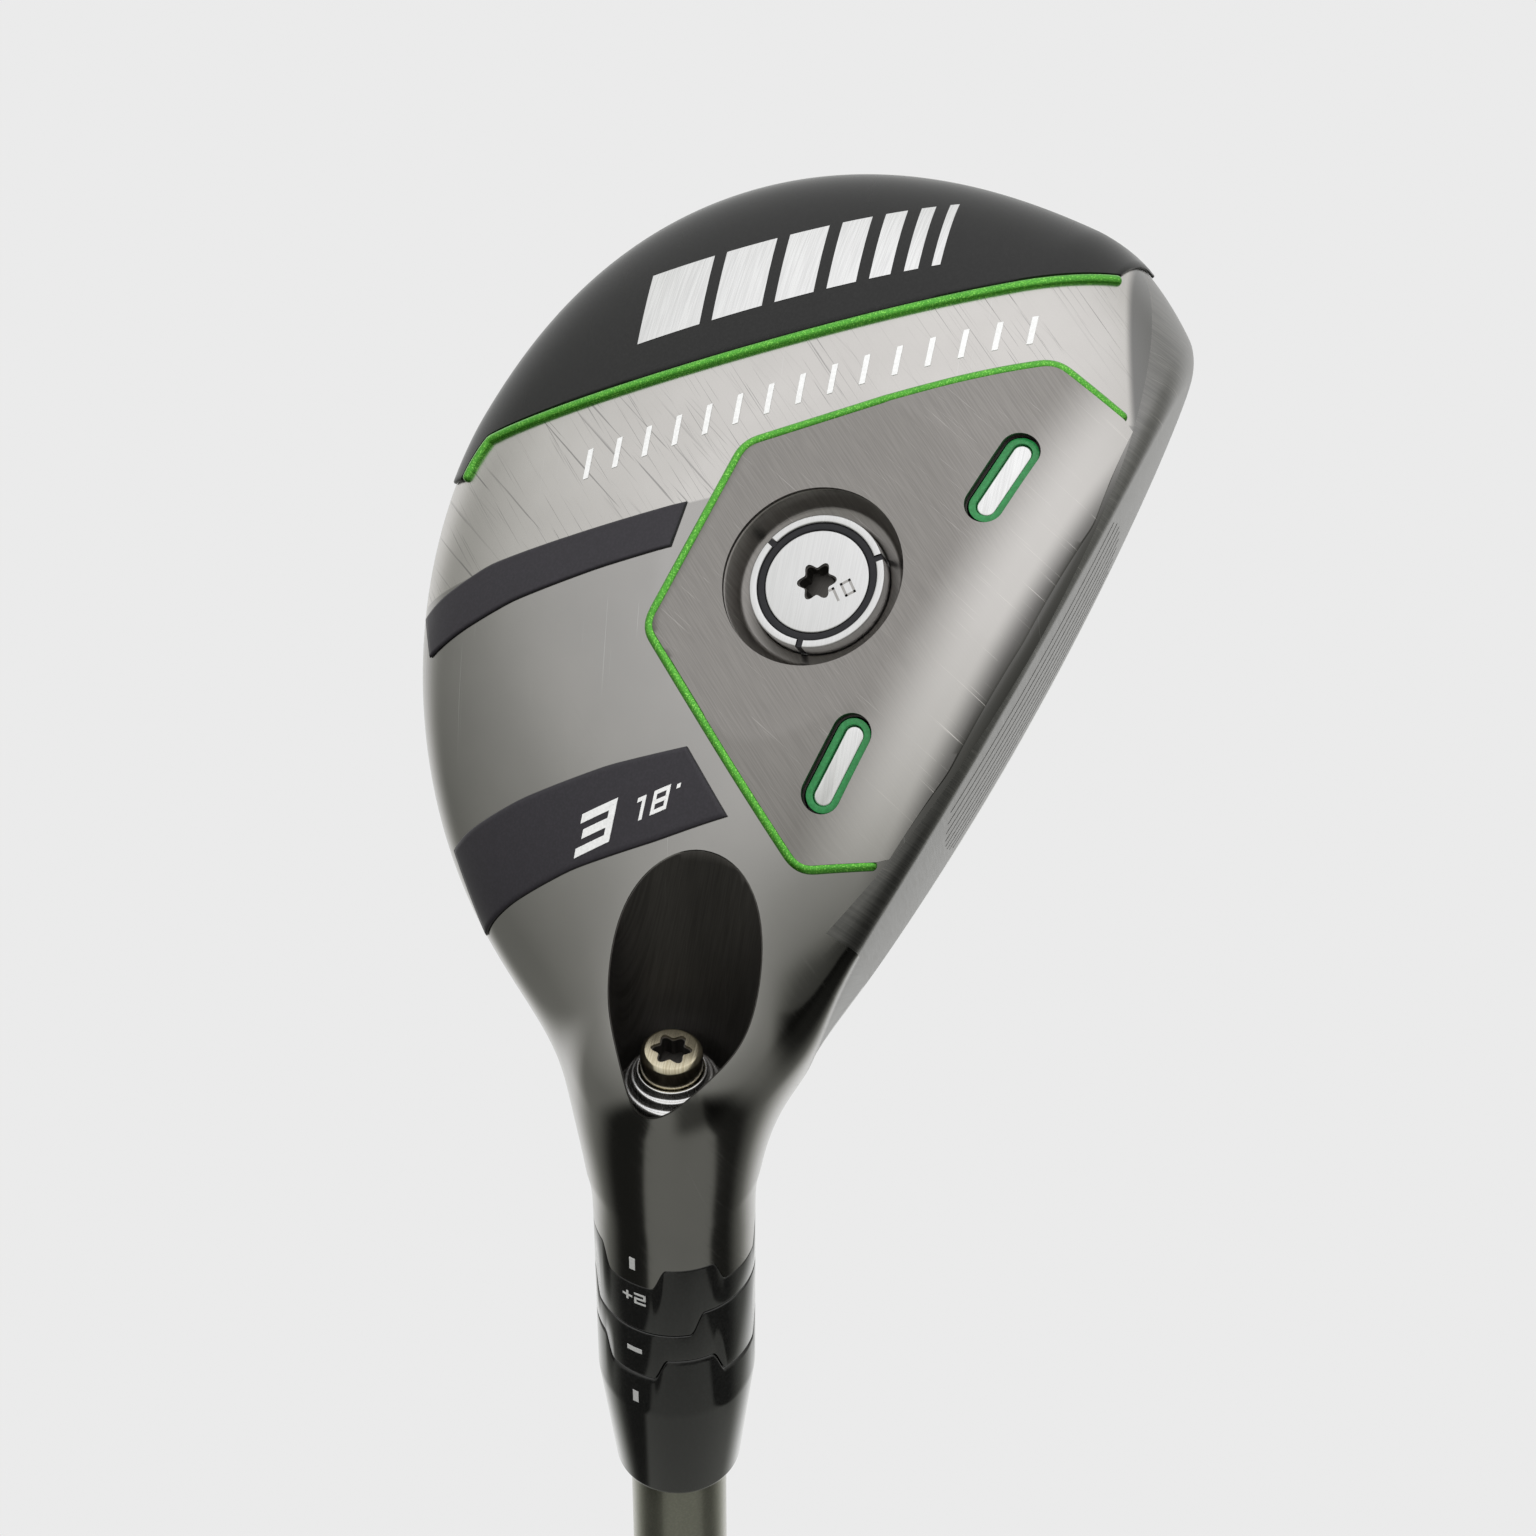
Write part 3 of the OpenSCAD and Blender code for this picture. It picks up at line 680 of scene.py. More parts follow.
# %% The two stripes
toe_stripe_a = [(1.3, -4.1), (-6.4, -14), (-11.5, -20.6), (-15.9, -24.6), (-18.2, -26.2)]
toe_stripe_b = [(-3.1, -3.2), (-7.7, -9), (-13.8, -16.2), (-18.4, -20.6), (-21.4, -23.2)]
heel_stripe_a = [(-18.9, 8.4), (-23.5, 2), (-29.6, -5.2), (-34.2, -9.9), (-36.2, -11.6)]
heel_stripe_b = [(-22.8, 15.1), (-27.8, 9.6), (-33.3, 2.9), (-38.5, -2.4), (-41.6, -5.2)]
for name, edge_a, edge_b in (
    ("toe_side_stripe", toe_stripe_a, toe_stripe_b),
    ("heel_side_stripe", heel_stripe_a, heel_stripe_b),
):
    stripe = patch(name, resample(edge_a, 60, 2), resample(edge_b, 60, 2), 60, 16, 0.03, 0.28)
    finish_piece(stripe, "head", "inlay_black", [name], sharp=50)

# %% [markdown]
# Repeated shapes and finishes are made by node trees. A few helpers keep them short: `add` makes
# a node with its inputs set or linked, `new_group` starts a tree with named sockets, and `calc`
# does sums on sockets.


# %% Helpers for node trees
def add(tree, kind, inputs=None, **settings):
    """A new node. Each input is a value, or a socket to link it to."""
    node = tree.nodes.new(kind)
    for key, value in settings.items():
        setattr(node, key, value)
    for key, value in (inputs or {}).items():
        if isinstance(value, bpy.types.NodeSocket):
            tree.links.new(value, node.inputs[key])
        else:
            node.inputs[key].default_value = value
    return node


def new_group(kind, name, inputs, outputs):
    """A node group with named sockets. Gives its tree, its input sockets and its output node."""
    tree = bpy.data.node_groups.new(name, kind + "NodeTree")
    for way, sockets in (("INPUT", inputs), ("OUTPUT", outputs)):
        for label, value in sockets.items():
            tree.interface.new_socket(label, in_out=way, socket_type="NodeSocket" + value)
    return tree, add(tree, "NodeGroupInput").outputs, add(tree, "NodeGroupOutput")


def feed(node, label, source):
    """Links a socket to a node's input."""
    node.id_data.links.new(source, node.inputs[label])


def calc(operation, a, b=0.0):
    """One sum on sockets or numbers, in the tree that the socket belongs to."""
    tree = next(v for v in (a, b) if isinstance(v, bpy.types.NodeSocket)).id_data
    return add(tree, "ShaderNodeMath", {0: a, 1: b}, operation=operation).outputs[0]


def times(a, b):
    return calc("MULTIPLY", a, b)


def plus(a, b):
    return calc("ADD", a, b)


# %% [markdown]
# The green beads and the score lines of the face each follow a path, so one Geometry Nodes tree
# makes them all: it takes curves, sweeps a round section along them and sets the material. The
# paths themselves are worked out on the skin.


# %% A tree that sweeps a round section along curves
def sweep_tree():
    sockets = {"Geometry": "Geometry", "Radius": "Float", "Sides": "Int", "Material": "Material"}
    tree, given, result = new_group("Geometry", "swept_bead", sockets, {"Geometry": "Geometry"})
    ring = add(
        tree,
        "GeometryNodeCurvePrimitiveCircle",
        {"Radius": given["Radius"], "Resolution": given["Sides"]},
    )
    sweep = add(
        tree,
        "GeometryNodeCurveToMesh",
        {"Curve": given["Geometry"], "Profile Curve": ring.outputs["Curve"], "Fill Caps": True},
    )
    if "Scale" in sweep.inputs:
        feed(sweep, "Scale", add(tree, "GeometryNodeInputRadius").outputs["Radius"])
    realize = add(tree, "GeometryNodeRealizeInstances", {"Geometry": sweep.outputs["Mesh"]})
    solid = realize.outputs["Geometry"]
    painted = {"Geometry": solid, "Material": given["Material"]}
    paint = add(tree, "GeometryNodeSetMaterial", painted)
    feed(result, "Geometry", paint.outputs["Geometry"])
    return tree


SWEEP = sweep_tree()


def material_of(slot):
    return bpy.data.materials.get(slot) or bpy.data.materials.new(slot)


def set_inputs(step, values):
    """Sets a Geometry Nodes modifier's inputs by the identifier of each named socket."""
    for item in step.node_group.interface.items_tree:
        if item.item_type == "SOCKET" and item.in_out == "INPUT" and item.name in values:
            step[item.identifier] = values[item.name]


def swept(name, paths, radius, sides, slot):
    """Sweeps a round section along each path. The ends are rounded off by thinning the path."""
    curve = bpy.data.curves.new(name, "CURVE")
    curve.dimensions = "3D"
    thinnest = 0.02
    for path in paths:
        travel = travel_along(path)
        to_end = np.minimum(travel, travel[-1] - travel)
        thin = np.sqrt(np.clip(1 - (1 - np.clip(to_end / radius, 0, 1)) ** 2, thinnest, 1))
        spline = curve.splines.new("POLY")
        spline.points.add(len(path) - 1)
        for point, at, share in zip(spline.points, path * MM, thin):
            point.co = (*at, 1)
            point.radius = share
    source = link(name + "_path", curve)
    step = source.modifiers.new("sweep", "NODES")
    step.node_group = SWEEP
    set_inputs(step, {"Radius": radius * MM, "Sides": sides, "Material": material_of(slot)})
    graph = bpy.context.evaluated_depsgraph_get()
    mesh = bpy.data.meshes.new_from_object(source.evaluated_get(graph), depsgraph=graph)
    bpy.data.objects.remove(source)
    clean(mesh)
    return link(name, mesh)


def end_spaced(points, count):
    """Points along a path, packed closer at both ends so that the ends can round off."""
    even = np.linspace(0, 1, count)
    ends = np.array([0.0005, 0.0015, 0.003, 0.005, 0.008])
    shares = np.sort(np.concatenate([even, ends, 1 - ends]))
    fine = 2000
    return read_off(resample(points, fine), range(fine), shares * (fine - 1))


# %% The green beads
bead_r, bead_sink = 0.52, 0.05
for name, route in (
    ("pad_trim_line", beside(resample(pad_rear, 240, soften=2.6), -0.3)),
    ("rear_trim_line", resample(trim_rear, 240)),
):
    flat = end_spaced(route, 240)
    bead = swept(name, [to_sole(flat, np.full(len(flat), bead_sink))], bead_r, 20, "trim_green")
    finish_piece(bead, "head", "trim_green", [name], sharp=60)

# %% Score lines on the face
score_rows, score_r, score_sink = 8, 0.25, 0.21
score_first, score_pitch, score_half, score_middle = 6.0, 2.9, 17.5, 3.0
score_paths = []
for k in range(score_rows):
    up = score_first + score_pitch * k
    half = score_half - 0.12 * (k - (score_rows - 1) / 2) ** 2
    x = np.linspace(-half + score_middle, half + score_middle, 40)
    start = np.stack([x, np.full_like(x, 12.0), np.full_like(x, face_z + up * math.cos(loft))], 1)
    hit = find_skin(start, np.broadcast_to(towards_face, start.shape), 40.0)
    score_paths.append(hit - head_normal(hit) * score_sink)
scores = swept("face_score_lines", score_paths, score_r, 8, "inlay_black")
finish_piece(scores, "head", "inlay_black", sharp=60, look="inner_steel")

# %% [markdown]
# ## The sole weight and the strut caps
#
# The weight sits at the bottom of a dark stepped recess. Round it are a keyed collar and a black
# rubber ring. Everything is turned, and the driver recess and the keys are cut afterwards.

# %% The recess and the weight
port_bore, port_top = 3.2, 12.4
port_steps = [(port_bore, 11.5), (port_bore, 5.1), (6.5, 5.1), (6.5, 3.0), (recess_r - 0.9, 2.7)]
port_lip = [(recess_r, 0.75), (recess_r + 0.3, 0.62), (recess_r + 0.7, 0.62)]
port_back = [(recess_r + 0.7, port_top), (port_bore, port_top)]
port = turned("weight_port", rounded(port_steps + port_lip + port_back, 0.25), upright, 160)
finish_piece(port, "head", "pad_steel", ["weight_port"])
collar = turned("weight_collar", ring_outline(5.7, 6.45, 1.25, 4.9, 0.15), upright, 160)


def keys(inner, outer, width, low, high):
    """Three square keys spread round the weight."""
    made = []
    for turn in (44, 164, 284):
        c, s = math.cos(math.radians(turn)), math.sin(math.radians(turn))
        corners = [(inner, -width), (outer, -width), (outer, width), (inner, width)]
        made.append(prism("key", [(x * c - y * s, x * s + y * c) for x, y in corners], low, high))
    return made


carve(collar, keys(4.0, 8.0, 0.32, 0.5, 3.4))
finish_piece(collar, "head", "bright_steel", ["weight_collar"], look="turned_steel")
seal = turned("weight_seal", ring_outline(5.0, 5.68, 1.42, 3.2, 0.15), upright)
carve(seal, keys(5.6, 6.4, 0.26, 1.4, 2.9), "UNION")
finish_piece(seal, "weight_seal", "seal_rubber", ["weight_seal"])
weight_head = [(0, 1.42), (4.95, 1.4), (4.95, 2.3), (3.0, 2.3)]
weight_stem = [(3.0, 10.2), (2.4, 10.6), (0, 10.6)]
weight = turned("weight_screw", rounded(weight_head + weight_stem, 0.14), upright, 160)
carve(weight, [prism("driver", six_lobes(1.9), 0.5, 3.4)])
finish_piece(weight, "weight_screw", "bright_steel", ["weight_screw"], look="turned_steel")


def driver_shade_lining(name, low, high, place, body):
    """Dark lining of a six lobe recess, open at its low end; its dark colour is painted shade
    inside the recess.
    """
    cup = prism(name, six_lobes(1.88), low, high - 0.01, place)
    carve(cup, [prism("inside", six_lobes(1.72), low - 1, high - 0.2, place)])
    finish_piece(cup, body, "inner_steel")


# a dark lining paints shade inside the weight's driver recess
driver_shade_lining("weight_driver", 1.62, 3.4, upright, "weight_screw")


# %% The strut caps in their slots
def strut_part(name, x, grow, low, high, recess, hole=None, ease=0.0):
    """A capsule in a slot, set in by a recess. hole gives an opening's growth, low and high."""
    part = prism(name, strut_outline(grow), low, high, at_strut(x))
    if hole:
        carve(part, [prism("hole", strut_outline(hole[0]), *hole[1:], at_strut(x))])
    if ease:
        step = part.modifiers.new("ease", "BEVEL")
        step.width, step.segments, step.limit_method = ease * MM, 3, "ANGLE"
        bake(part)
    for vertex in part.data.vertices:
        px, py, pz = (value / MM for value in vertex.co)
        if pz < 2.0:
            vertex.co.z = (to_sole((px, py))[2] + recess + pz - low) * MM
    return part


for k, x in enumerate(strut_middle_x, 1):
    rim = strut_part(f"strut_rim_{k}", x, 0.0, 0.5, 3.0, 0.12, (-1.2, 0.3, 4), 0.16)
    finish_piece(rim, "head", "trim_green", ["strut_rims"], look="enamel_green")
    cap = strut_part(f"strut_cap_{k}", x, -1.26, 0.62, 3.0, 0.3, ease=0.2)
    finish_piece(cap, "head", "bright_steel", ["strut_caps"])
    well = strut_part(f"strut_well_{k}", x, 1.6, 0.66, 3.4, 0.5, (slot_play, 0, 3.1))
    finish_piece(well, "head", "inner_steel")

# %% [markdown]
# ## Screw, washer, rings and ferrule
#
# The parts on the shaft's axis are turned in the axis's own frame. The two black rings and the
# ferrule meet along toothed joints with sloped flanks, cut here as a height that changes with
# the angle.

# %% The hosel screw and its washer
washer_s, screw_end_s = 14.2, 34.2
head_steps = [(0, screw_face_s), (2.45, screw_face_s), (2.85, screw_face_s + 0.4), (2.85, washer_s)]
stem_steps = [(2.4, washer_s), (2.4, screw_end_s), (0, screw_end_s)]
screw = turned("hosel_screw", rounded(head_steps + stem_steps, 0.12), on_axis)
carve(screw, [prism("driver", six_lobes(1.9), screw_face_s - 1, screw_face_s + 2.2, on_axis)])
finish_piece(screw, "hosel_screw", "screw_steel", ["hosel_screw"])
# a dark lining paints shade inside the screw's driver recess
driver_shade_lining("screw_driver", screw_face_s + 0.25, screw_face_s + 2.2, on_axis, "hosel_screw")
washer_steps = [(2.95, 12.7), (3.25, 12.7), (3.35, 13.5), (3.8, 13.5), (3.9, 14.4), (4.45, 14.4)]
washer_outline = rounded(washer_steps + [(4.5, 16.55), (2.95, 16.55)], 0.24)
washer = turned("screw_washer", washer_outline, on_axis)
finish_piece(washer, "head", "bright_steel", ["screw_washer"])

# %% The toothed rings
cog_height = 6.6
lie_cog_s = rim_s + cog_height
ferrule_s = lie_cog_s + cog_height
sleeve_r, seam = 5.55, 0.06


def ring_between(name, level, s_low, s_high):
    """A ring whose lower and upper edges follow two toothed joints, with eased edges."""

    def outline(angle):
        low = joint_height(level, angle, s_low) + seam
        high = joint_height(level + 1, angle, s_high) - seam
        return ring_outline(sleeve_r, hosel_r, low, high, 0.22)

    return turned(name, outline, on_axis, 360)


loft_ring = ring_between("loft_cog", 1, rim_s, lie_cog_s)
finish_piece(loft_ring, "loft_cog", "adapter_black", ["loft_cog"], sharp=45)
lie_ring = ring_between("lie_cog", 2, lie_cog_s, ferrule_s)
finish_piece(lie_ring, "lie_cog", "adapter_black", ["lie_cog"], sharp=45)
cone_s, ferrule_end_s = 53.5, 67.9


def ferrule_outline(angle):
    low = joint_height(3, angle, ferrule_s) + seam
    outside = [(sleeve_r, low), (hosel_r, low), (hosel_r, cone_s), (6.05, ferrule_end_s - 0.2)]
    mouth = [(5.0, ferrule_end_s + 0.3), (5.0, ferrule_end_s - 4), (sleeve_r, ferrule_end_s - 5)]
    return rounded(outside + mouth, 0.6, 5)


ferrule = turned("ferrule", ferrule_outline, on_axis, 360)
finish_piece(ferrule, "shaft_assembly", "adapter_black", ["ferrule"], sharp=45)
liner_bore, liner_r = 2.8, 6.2
liner_floor = [(liner_bore, 16.65), (liner_r, 16.65), (liner_r, 31.9), (sleeve_r, 31.9)]
liner_inside = [(sleeve_r, 18.5), (liner_bore, 18.5)]
liner = turned("hosel_liner", rounded(liner_floor + liner_inside, 0.1), on_axis, 96)
finish_piece(liner, "head", "inner_steel", ["hosel_liner"])

# %% [markdown]
# ## Shaft and grip
#
# The shaft, which tapers from the tip to the butt, is not built here. The grip is moulded
# rubber: a lip at its mouth, a slow taper, and rows of small raised lozenges that Geometry
# Nodes place round it by rule.

# %% The grip's body
grip_start_s, club_length = 751.0, 1018.0
grip_bore, grip_thin, grip_thick, grip_lip = 8.0, 9.45, 12.75, 14
lip_steps = ((grip_bore, 0), (8.7, 0), (9.15, 3), (8.95, 9), (grip_thin, grip_lip))
end_steps = ((grip_thick, 9), (grip_thick, 8.05), (grip_bore, 8.05))
grip_outline = [(r, grip_start_s + s) for r, s in lip_steps]
grip_outline += [(r, club_length - s) for r, s in end_steps]
grip = turned("grip", rounded(grip_outline, 0.9, 4), on_axis, 96)
finish_piece(grip, "shaft_assembly", "grip_rubber", ["grip"])
cap_steps = [(1.95, 2.9), (7.9, 2.9), (7.9, 7.95), (13.35, 7.95), (13.35, 2.4), (10.9, 0.05)]
cap_steps.append((1.95, 0.05))
cap_outline = rounded([(r, club_length - s) for r, s in cap_steps], 0.7, 4)
cap = turned("grip_cap", cap_outline, on_axis, 96)
finish_piece(cap, "shaft_assembly", "grip_rubber", ["grip_cap"])


# %% Lozenges on the grip
def lozenge_tree():
    sockets = {"Geometry": "Geometry", "Count": "Int", "Per row": "Int", "Row spacing": "Float"}
    sockets |= {"Start": "Float", "Start radius": "Float", "Taper": "Float", "Size": "Float"}
    sockets |= {"Material": "Material"}
    tree, given, result = new_group("Geometry", "grip_lozenges", sockets, {"Geometry": "Geometry"})
    index = add(tree, "GeometryNodeInputIndex").outputs[0]
    row = calc("FLOOR", calc("DIVIDE", index, given["Per row"]))
    place = calc("MODULO", index, given["Per row"])
    half = times(calc("MODULO", row, 2.0), 0.5)
    angle = times(calc("DIVIDE", plus(place, half), given["Per row"]), 2 * math.pi)
    travel = times(row, given["Row spacing"])
    height = plus(travel, given["Start"])
    radius = plus(times(travel, given["Taper"]), given["Start radius"])
    across, sideways = calc("COSINE", angle), calc("SINE", angle)
    spot = {"X": times(radius, across), "Y": times(radius, sideways), "Z": height}
    at = add(tree, "ShaderNodeCombineXYZ", spot)
    spots = {"Count": given["Count"], "Position": at.outputs[0]}
    points = add(tree, "GeometryNodePoints", spots)
    sizes = {"Radius Top": 0.55 * MM, "Radius Bottom": 1.0 * MM, "Depth": 0.5 * MM, "Vertices": 4}
    bump = add(tree, "GeometryNodeMeshCone", sizes, fill_type="NGON")
    out = add(tree, "ShaderNodeCombineXYZ", {"X": across, "Y": sideways})
    aim = add(tree, "FunctionNodeAlignRotationToVector", {"Vector": out.outputs[0]}, axis="Z")
    placed = {"Points": points.outputs[0], "Instance": bump.outputs["Mesh"]}
    placed |= {"Rotation": aim.outputs[0], "Scale": given["Size"]}
    copies = add(tree, "GeometryNodeInstanceOnPoints", placed)
    realize = add(tree, "GeometryNodeRealizeInstances", {0: copies.outputs[0]})
    painted = {"Geometry": realize.outputs[0], "Material": given["Material"]}
    feed(result, 0, add(tree, "GeometryNodeSetMaterial", painted).outputs[0])
    return tree


per_row, row_spacing, first_row = 18, 3.1, grip_start_s + 20
row_total = int((club_length - 16 - first_row) / row_spacing)
taper = (grip_thick - grip_thin) / (club_length - 9 - grip_start_s - grip_lip)
holder = link("lozenges", bpy.data.meshes.new("lozenges"))
step = holder.modifiers.new("lozenges", "NODES")
step.node_group = lozenge_tree()
set_inputs(
    step,
    {
        "Count": per_row * row_total,
        "Per row": per_row,
        "Row spacing": row_spacing * MM,
        "Start": first_row * MM,
        "Start radius": (grip_thin + taper * 6 - 0.02) * MM,
        "Taper": taper,
        "Size": 1.0,
        "Material": material_of("grip_rubber"),
    },
)
bake(holder)
placing = Matrix.Identity(4)
for column, way in enumerate((axis_right, towards_face, shaft_way)):
    placing.col[column][:3] = way
placing.translation = Vector(axis_foot * MM)
holder.data.transform(placing)
holder.name = "grip_texture"
finish_piece(holder, "shaft_assembly", "grip_rubber")
print("lozenges", per_row * row_total)

# %% [markdown]
# ## Marks
#
# The head carries plain painted marks: a row of slanted bars on the rear panel, thin slanted
# dashes on the polished band, a club number and its loft, and alignment ticks on the rings. Each
# is a flat ribbon drawn in its own small plane, then laid on the skin with a little thickness.


# %% Ribbons laid on the sole or round the hosel
ribbon_cell, ribbon_step, ribbon_sink = 0.6, 0.35, 0.05


def ribbon(strokes, width, lay, name, thick=0.05):
    """Strokes with square ends, drawn in a plane and laid on a surface by lay(points, height)."""
    points, faces = [], []
    across = np.linspace(1, -1, 1 + max(1, math.ceil(width / ribbon_cell)))
    profile = [(c, thick) for c in across] + [(c, -ribbon_sink) for c in across[::-1]]
    count, columns = len(profile), len(across)
    for stroke in strokes:
        line = np.asarray(stroke, float)
        pieces = max(2, int(travel_along(line)[-1] / ribbon_step))
        line = resample(line, pieces + 1) if len(line) == 2 else line
        side = leftwards(line) * width / 2
        base = len(points)
        for middle, edge in zip(line, side):
            points.extend(lay(middle + edge * c, height) for c, height in profile)
        last = base + count * (len(line) - 1)
        faces += [[base + v for v in quad] for quad in grid_faces(len(line), count, around=True)]
        for c in range(columns - 1):
            under = count - 1 - c
            faces.append([base + c, base + c + 1, base + under - 1, base + under])
            faces.append([last + under, last + under - 1, last + c + 1, last + c])
    return plain_object(name, np.array(points), faces)


def sole_plane(origin, along, up, slant, lift=0.0):
    """A drawing plane on the sole: u runs along, v runs up and leans by slant."""
    origin, along, up = (np.asarray(v, float) for v in (origin, along, up))
    along, up = along / np.linalg.norm(along), up / np.linalg.norm(up)

    def lay(flat, height):
        spot = origin + along * (flat[0] + slant * flat[1]) + up * flat[1]
        return to_sole(spot, np.array(height + lift))

    return lay


def hosel_plane(middle_angle, s):
    """A drawing plane wrapped round the hosel: u is an arc length, v runs towards the head."""

    def lay(flat, height):
        angle = math.radians(middle_angle) - flat[0] / hosel_r
        return on_axis(spun(hosel_r + height, angle, s - flat[1]))

    return lay


# Corners of a digit's box, numbered 1 to 6 from top left to bottom right, two to a row.
CORNERS = {"1": (0, 1), "2": (1, 1), "3": (0, 0.5), "4": (1, 0.5), "5": (0, 0), "6": (1, 0)}
DIGITS = {
    letter: [[CORNERS[a], CORNERS[b]] for a, b in pairs.split()]
    for letter, pairs in (("0", "51 12 26 65"), ("2", "12 24 43 35 56"), ("8", "51 12 26 65 34"))
}
DIGITS |= {
    "1": [[(0.6, 0), (0.6, 1)], [(0.2, 1), (0.6, 1)]],
    "3": [[(0, 1), (1, 1)], [(0.15, 0.5), (1, 0.5)], [(0, 0), (1, 0)], [(1, 0), (1, 1)]],
    "+": [[(0.5, 0.15), (0.5, 0.85)], [(0.05, 0.5), (0.95, 0.5)]],
    "o": [[(0.3, 0.85), (0.32, 0.85)]],
}


def digits(text, size, gap, stroke):
    """Straight strokes for a number. Ends are lengthened by half a stroke to square corners."""
    made, at = [], 0.0
    for letter in text:
        for start, end in DIGITS[letter]:
            a = np.array([at + start[0] * size[0], start[1] * size[1]])
            b = np.array([at + end[0] * size[0], end[1] * size[1]])
            d = (b - a) / np.linalg.norm(b - a) * stroke / 2
            made.append([a - d, b + d])
        at += size[0] + gap
    return made


# %% Bars and dashes on the sole
along_band = np.array([0.674, 0.738])
to_rear = np.array([0.738, -0.674])
big_plane = sole_plane((13.2, -18.2), (0.64, 0.77), to_rear, 0.3, 0.38)
bar_height, bar_gap, at = 7.6, 1.25, 0.0
for k, width in enumerate((6.4, 5.0, 3.8, 2.8, 2.0, 1.3, 0.8), 1):
    middle = at + width / 2
    bar = ribbon([[(middle, 0.0), (middle, bar_height)]], width, big_plane, f"rear_bar_{k}")
    finish_piece(bar, "head", "bright_steel", sharp=60)
    at += width + bar_gap
dash_plane = sole_plane((-0.6, -15.4), along_band, to_rear, 0.35)
dash_pitch, dash_height, dash_width, dash_count = 3.1, 2.9, 0.55, 15
dashes = [[(dash_pitch * k, 0.0), (dash_pitch * k, dash_height)] for k in range(dash_count)]
dash_row = ribbon(dashes, dash_width, dash_plane, "band_dashes")
finish_piece(dash_row, "head", "tape_white", sharp=60)

# %% The number and the loft on the heel stripe
along_stripe, stripe_up = (0.71, 0.70), (0.72, -0.69)
stripe_slant, stripe_lift = 0.55, 0.28
for name, text, corner, size, gap, stroke in (
    ("club_number", "3", (-31.6, 3.0), (3.1, 2.7), 0.8, 0.75),
    ("loft_number", "18o", (-27.0, 6.9), (1.35, 1.6), 0.65, 0.36),
):
    plane = sole_plane(corner, along_stripe, stripe_up, stripe_slant, stripe_lift)
    mark = ribbon(digits(text, size, gap, stroke), stroke, plane, name)
    finish_piece(mark, "head", "tape_white", sharp=60)


# %% A small number cut on the weight
def weight_plane(flat, height):
    along, up = np.array([0.81, 0.58]), np.array([0.58, -0.81])
    spot = np.array([-1.1, 2.5]) + along * flat[0] + up * flat[1]
    return upright([spot[0], spot[1], weight_at[2] + 0.02 - height])


mass_mark = ribbon(digits("10", (0.85, 1.25), 0.5, 0.24), 0.24, weight_plane, "weight_number", 0.02)
finish_piece(mass_mark, "weight_screw", "inner_steel", sharp=60, look="dense_metal")

# %% Ticks and a setting on the rings
mark_angle = 174
tick = [[(0, -0.8), (0, 0.8)]]
setting = [stroke - np.array([1.1, 0.0]) for stroke in digits("+2", (0.95, 1.25), 0.4, 0.24)]
for name, s, strokes, width, body in (
    ("neck_tick", rim_s - 2.8, tick, 0.6, "head"),
    ("loft_setting", rim_s + 2.6, setting, 0.24, "loft_cog"),
    ("lie_tick", lie_cog_s + 3.0, [[(-0.8, 0), (0.8, 0)]], 0.6, "lie_cog"),
    ("ferrule_tick", ferrule_s + 3.4, tick, 0.6, "shaft_assembly"),
):
    mark = ribbon(strokes, width, hosel_plane(mark_angle, s), name, 0.03)
    finish_piece(mark, body, "tape_white", sharp=60)

# %% [markdown]
# ## Finishes
#
# Effects that several finishes share are node groups: fine straight scratches, and a soft grain.
# Each group takes a position and gives back plain values. The shader stays in the material.


# %% Helpers for shaders
def mix_colour(share, a, b):
    return add(share.id_data, "ShaderNodeMix", {0: share, 6: a, 7: b}, data_type="RGBA").outputs[2]


def mix_value(share, a, b):
    return add(share.id_data, "ShaderNodeMix", {0: share, 2: a, 3: b}).outputs[0]


def remap(value, low, high, kind="SMOOTHSTEP"):
    """Turns low to high into 0 to 1."""
    values = {0: value, 1: low, 2: high}
    return add(value.id_data, "ShaderNodeMapRange", values, interpolation_type=kind).outputs[0]


def coordinate(where, k):
    """Coordinate number k of a position: 0 for X, 1 for Y."""
    return add(where.id_data, "ShaderNodeSeparateXYZ", {0: where}).outputs[k]


def grey(level, warm=0.0):
    return (level * (1 + warm), level, level * (1 - warm), 1)


# %% Group: fine scratches that run one way
def scratch_group():
    sockets = {"Vector": "Vector", "Angle": "Float", "Spacing": "Float", "Length": "Float"}
    sockets |= {"Amount": "Float"}
    outputs = {"Mask": "Float", "Brush": "Float"}
    tree, given, result = new_group("Shader", "fine_scratches", sockets, outputs)
    spin = {"Vector": given["Vector"], "Angle": given["Angle"]}
    spun_way = add(tree, "ShaderNodeVectorRotate", spin, rotation_type="Z_AXIS").outputs[0]
    fine = calc("DIVIDE", 1.0, given["Spacing"])
    coarse = calc("DIVIDE", 1.0, given["Length"])
    stretch = add(tree, "ShaderNodeCombineXYZ", {0: coarse, 1: fine, 2: coarse}).outputs[0]
    stretched = {0: spun_way, 1: stretch}
    lines = add(tree, "ShaderNodeVectorMath", stretched, operation="MULTIPLY").outputs[0]
    noise = add(tree, "ShaderNodeTexNoise", {"Vector": lines, "Scale": 1.0, "Detail": 3.0})
    patchy = add(tree, "ShaderNodeTexNoise", {"Vector": lines, "Scale": 0.23, "Detail": 1.0})
    level = calc("SUBTRACT", 0.78, times(given["Amount"], 0.2))
    mark = remap(noise.outputs[0], level, plus(level, 0.05))
    feed(result, "Mask", times(mark, remap(patchy.outputs[0], 0.45, 0.62)))
    feed(result, "Brush", noise.outputs[0])
    return tree


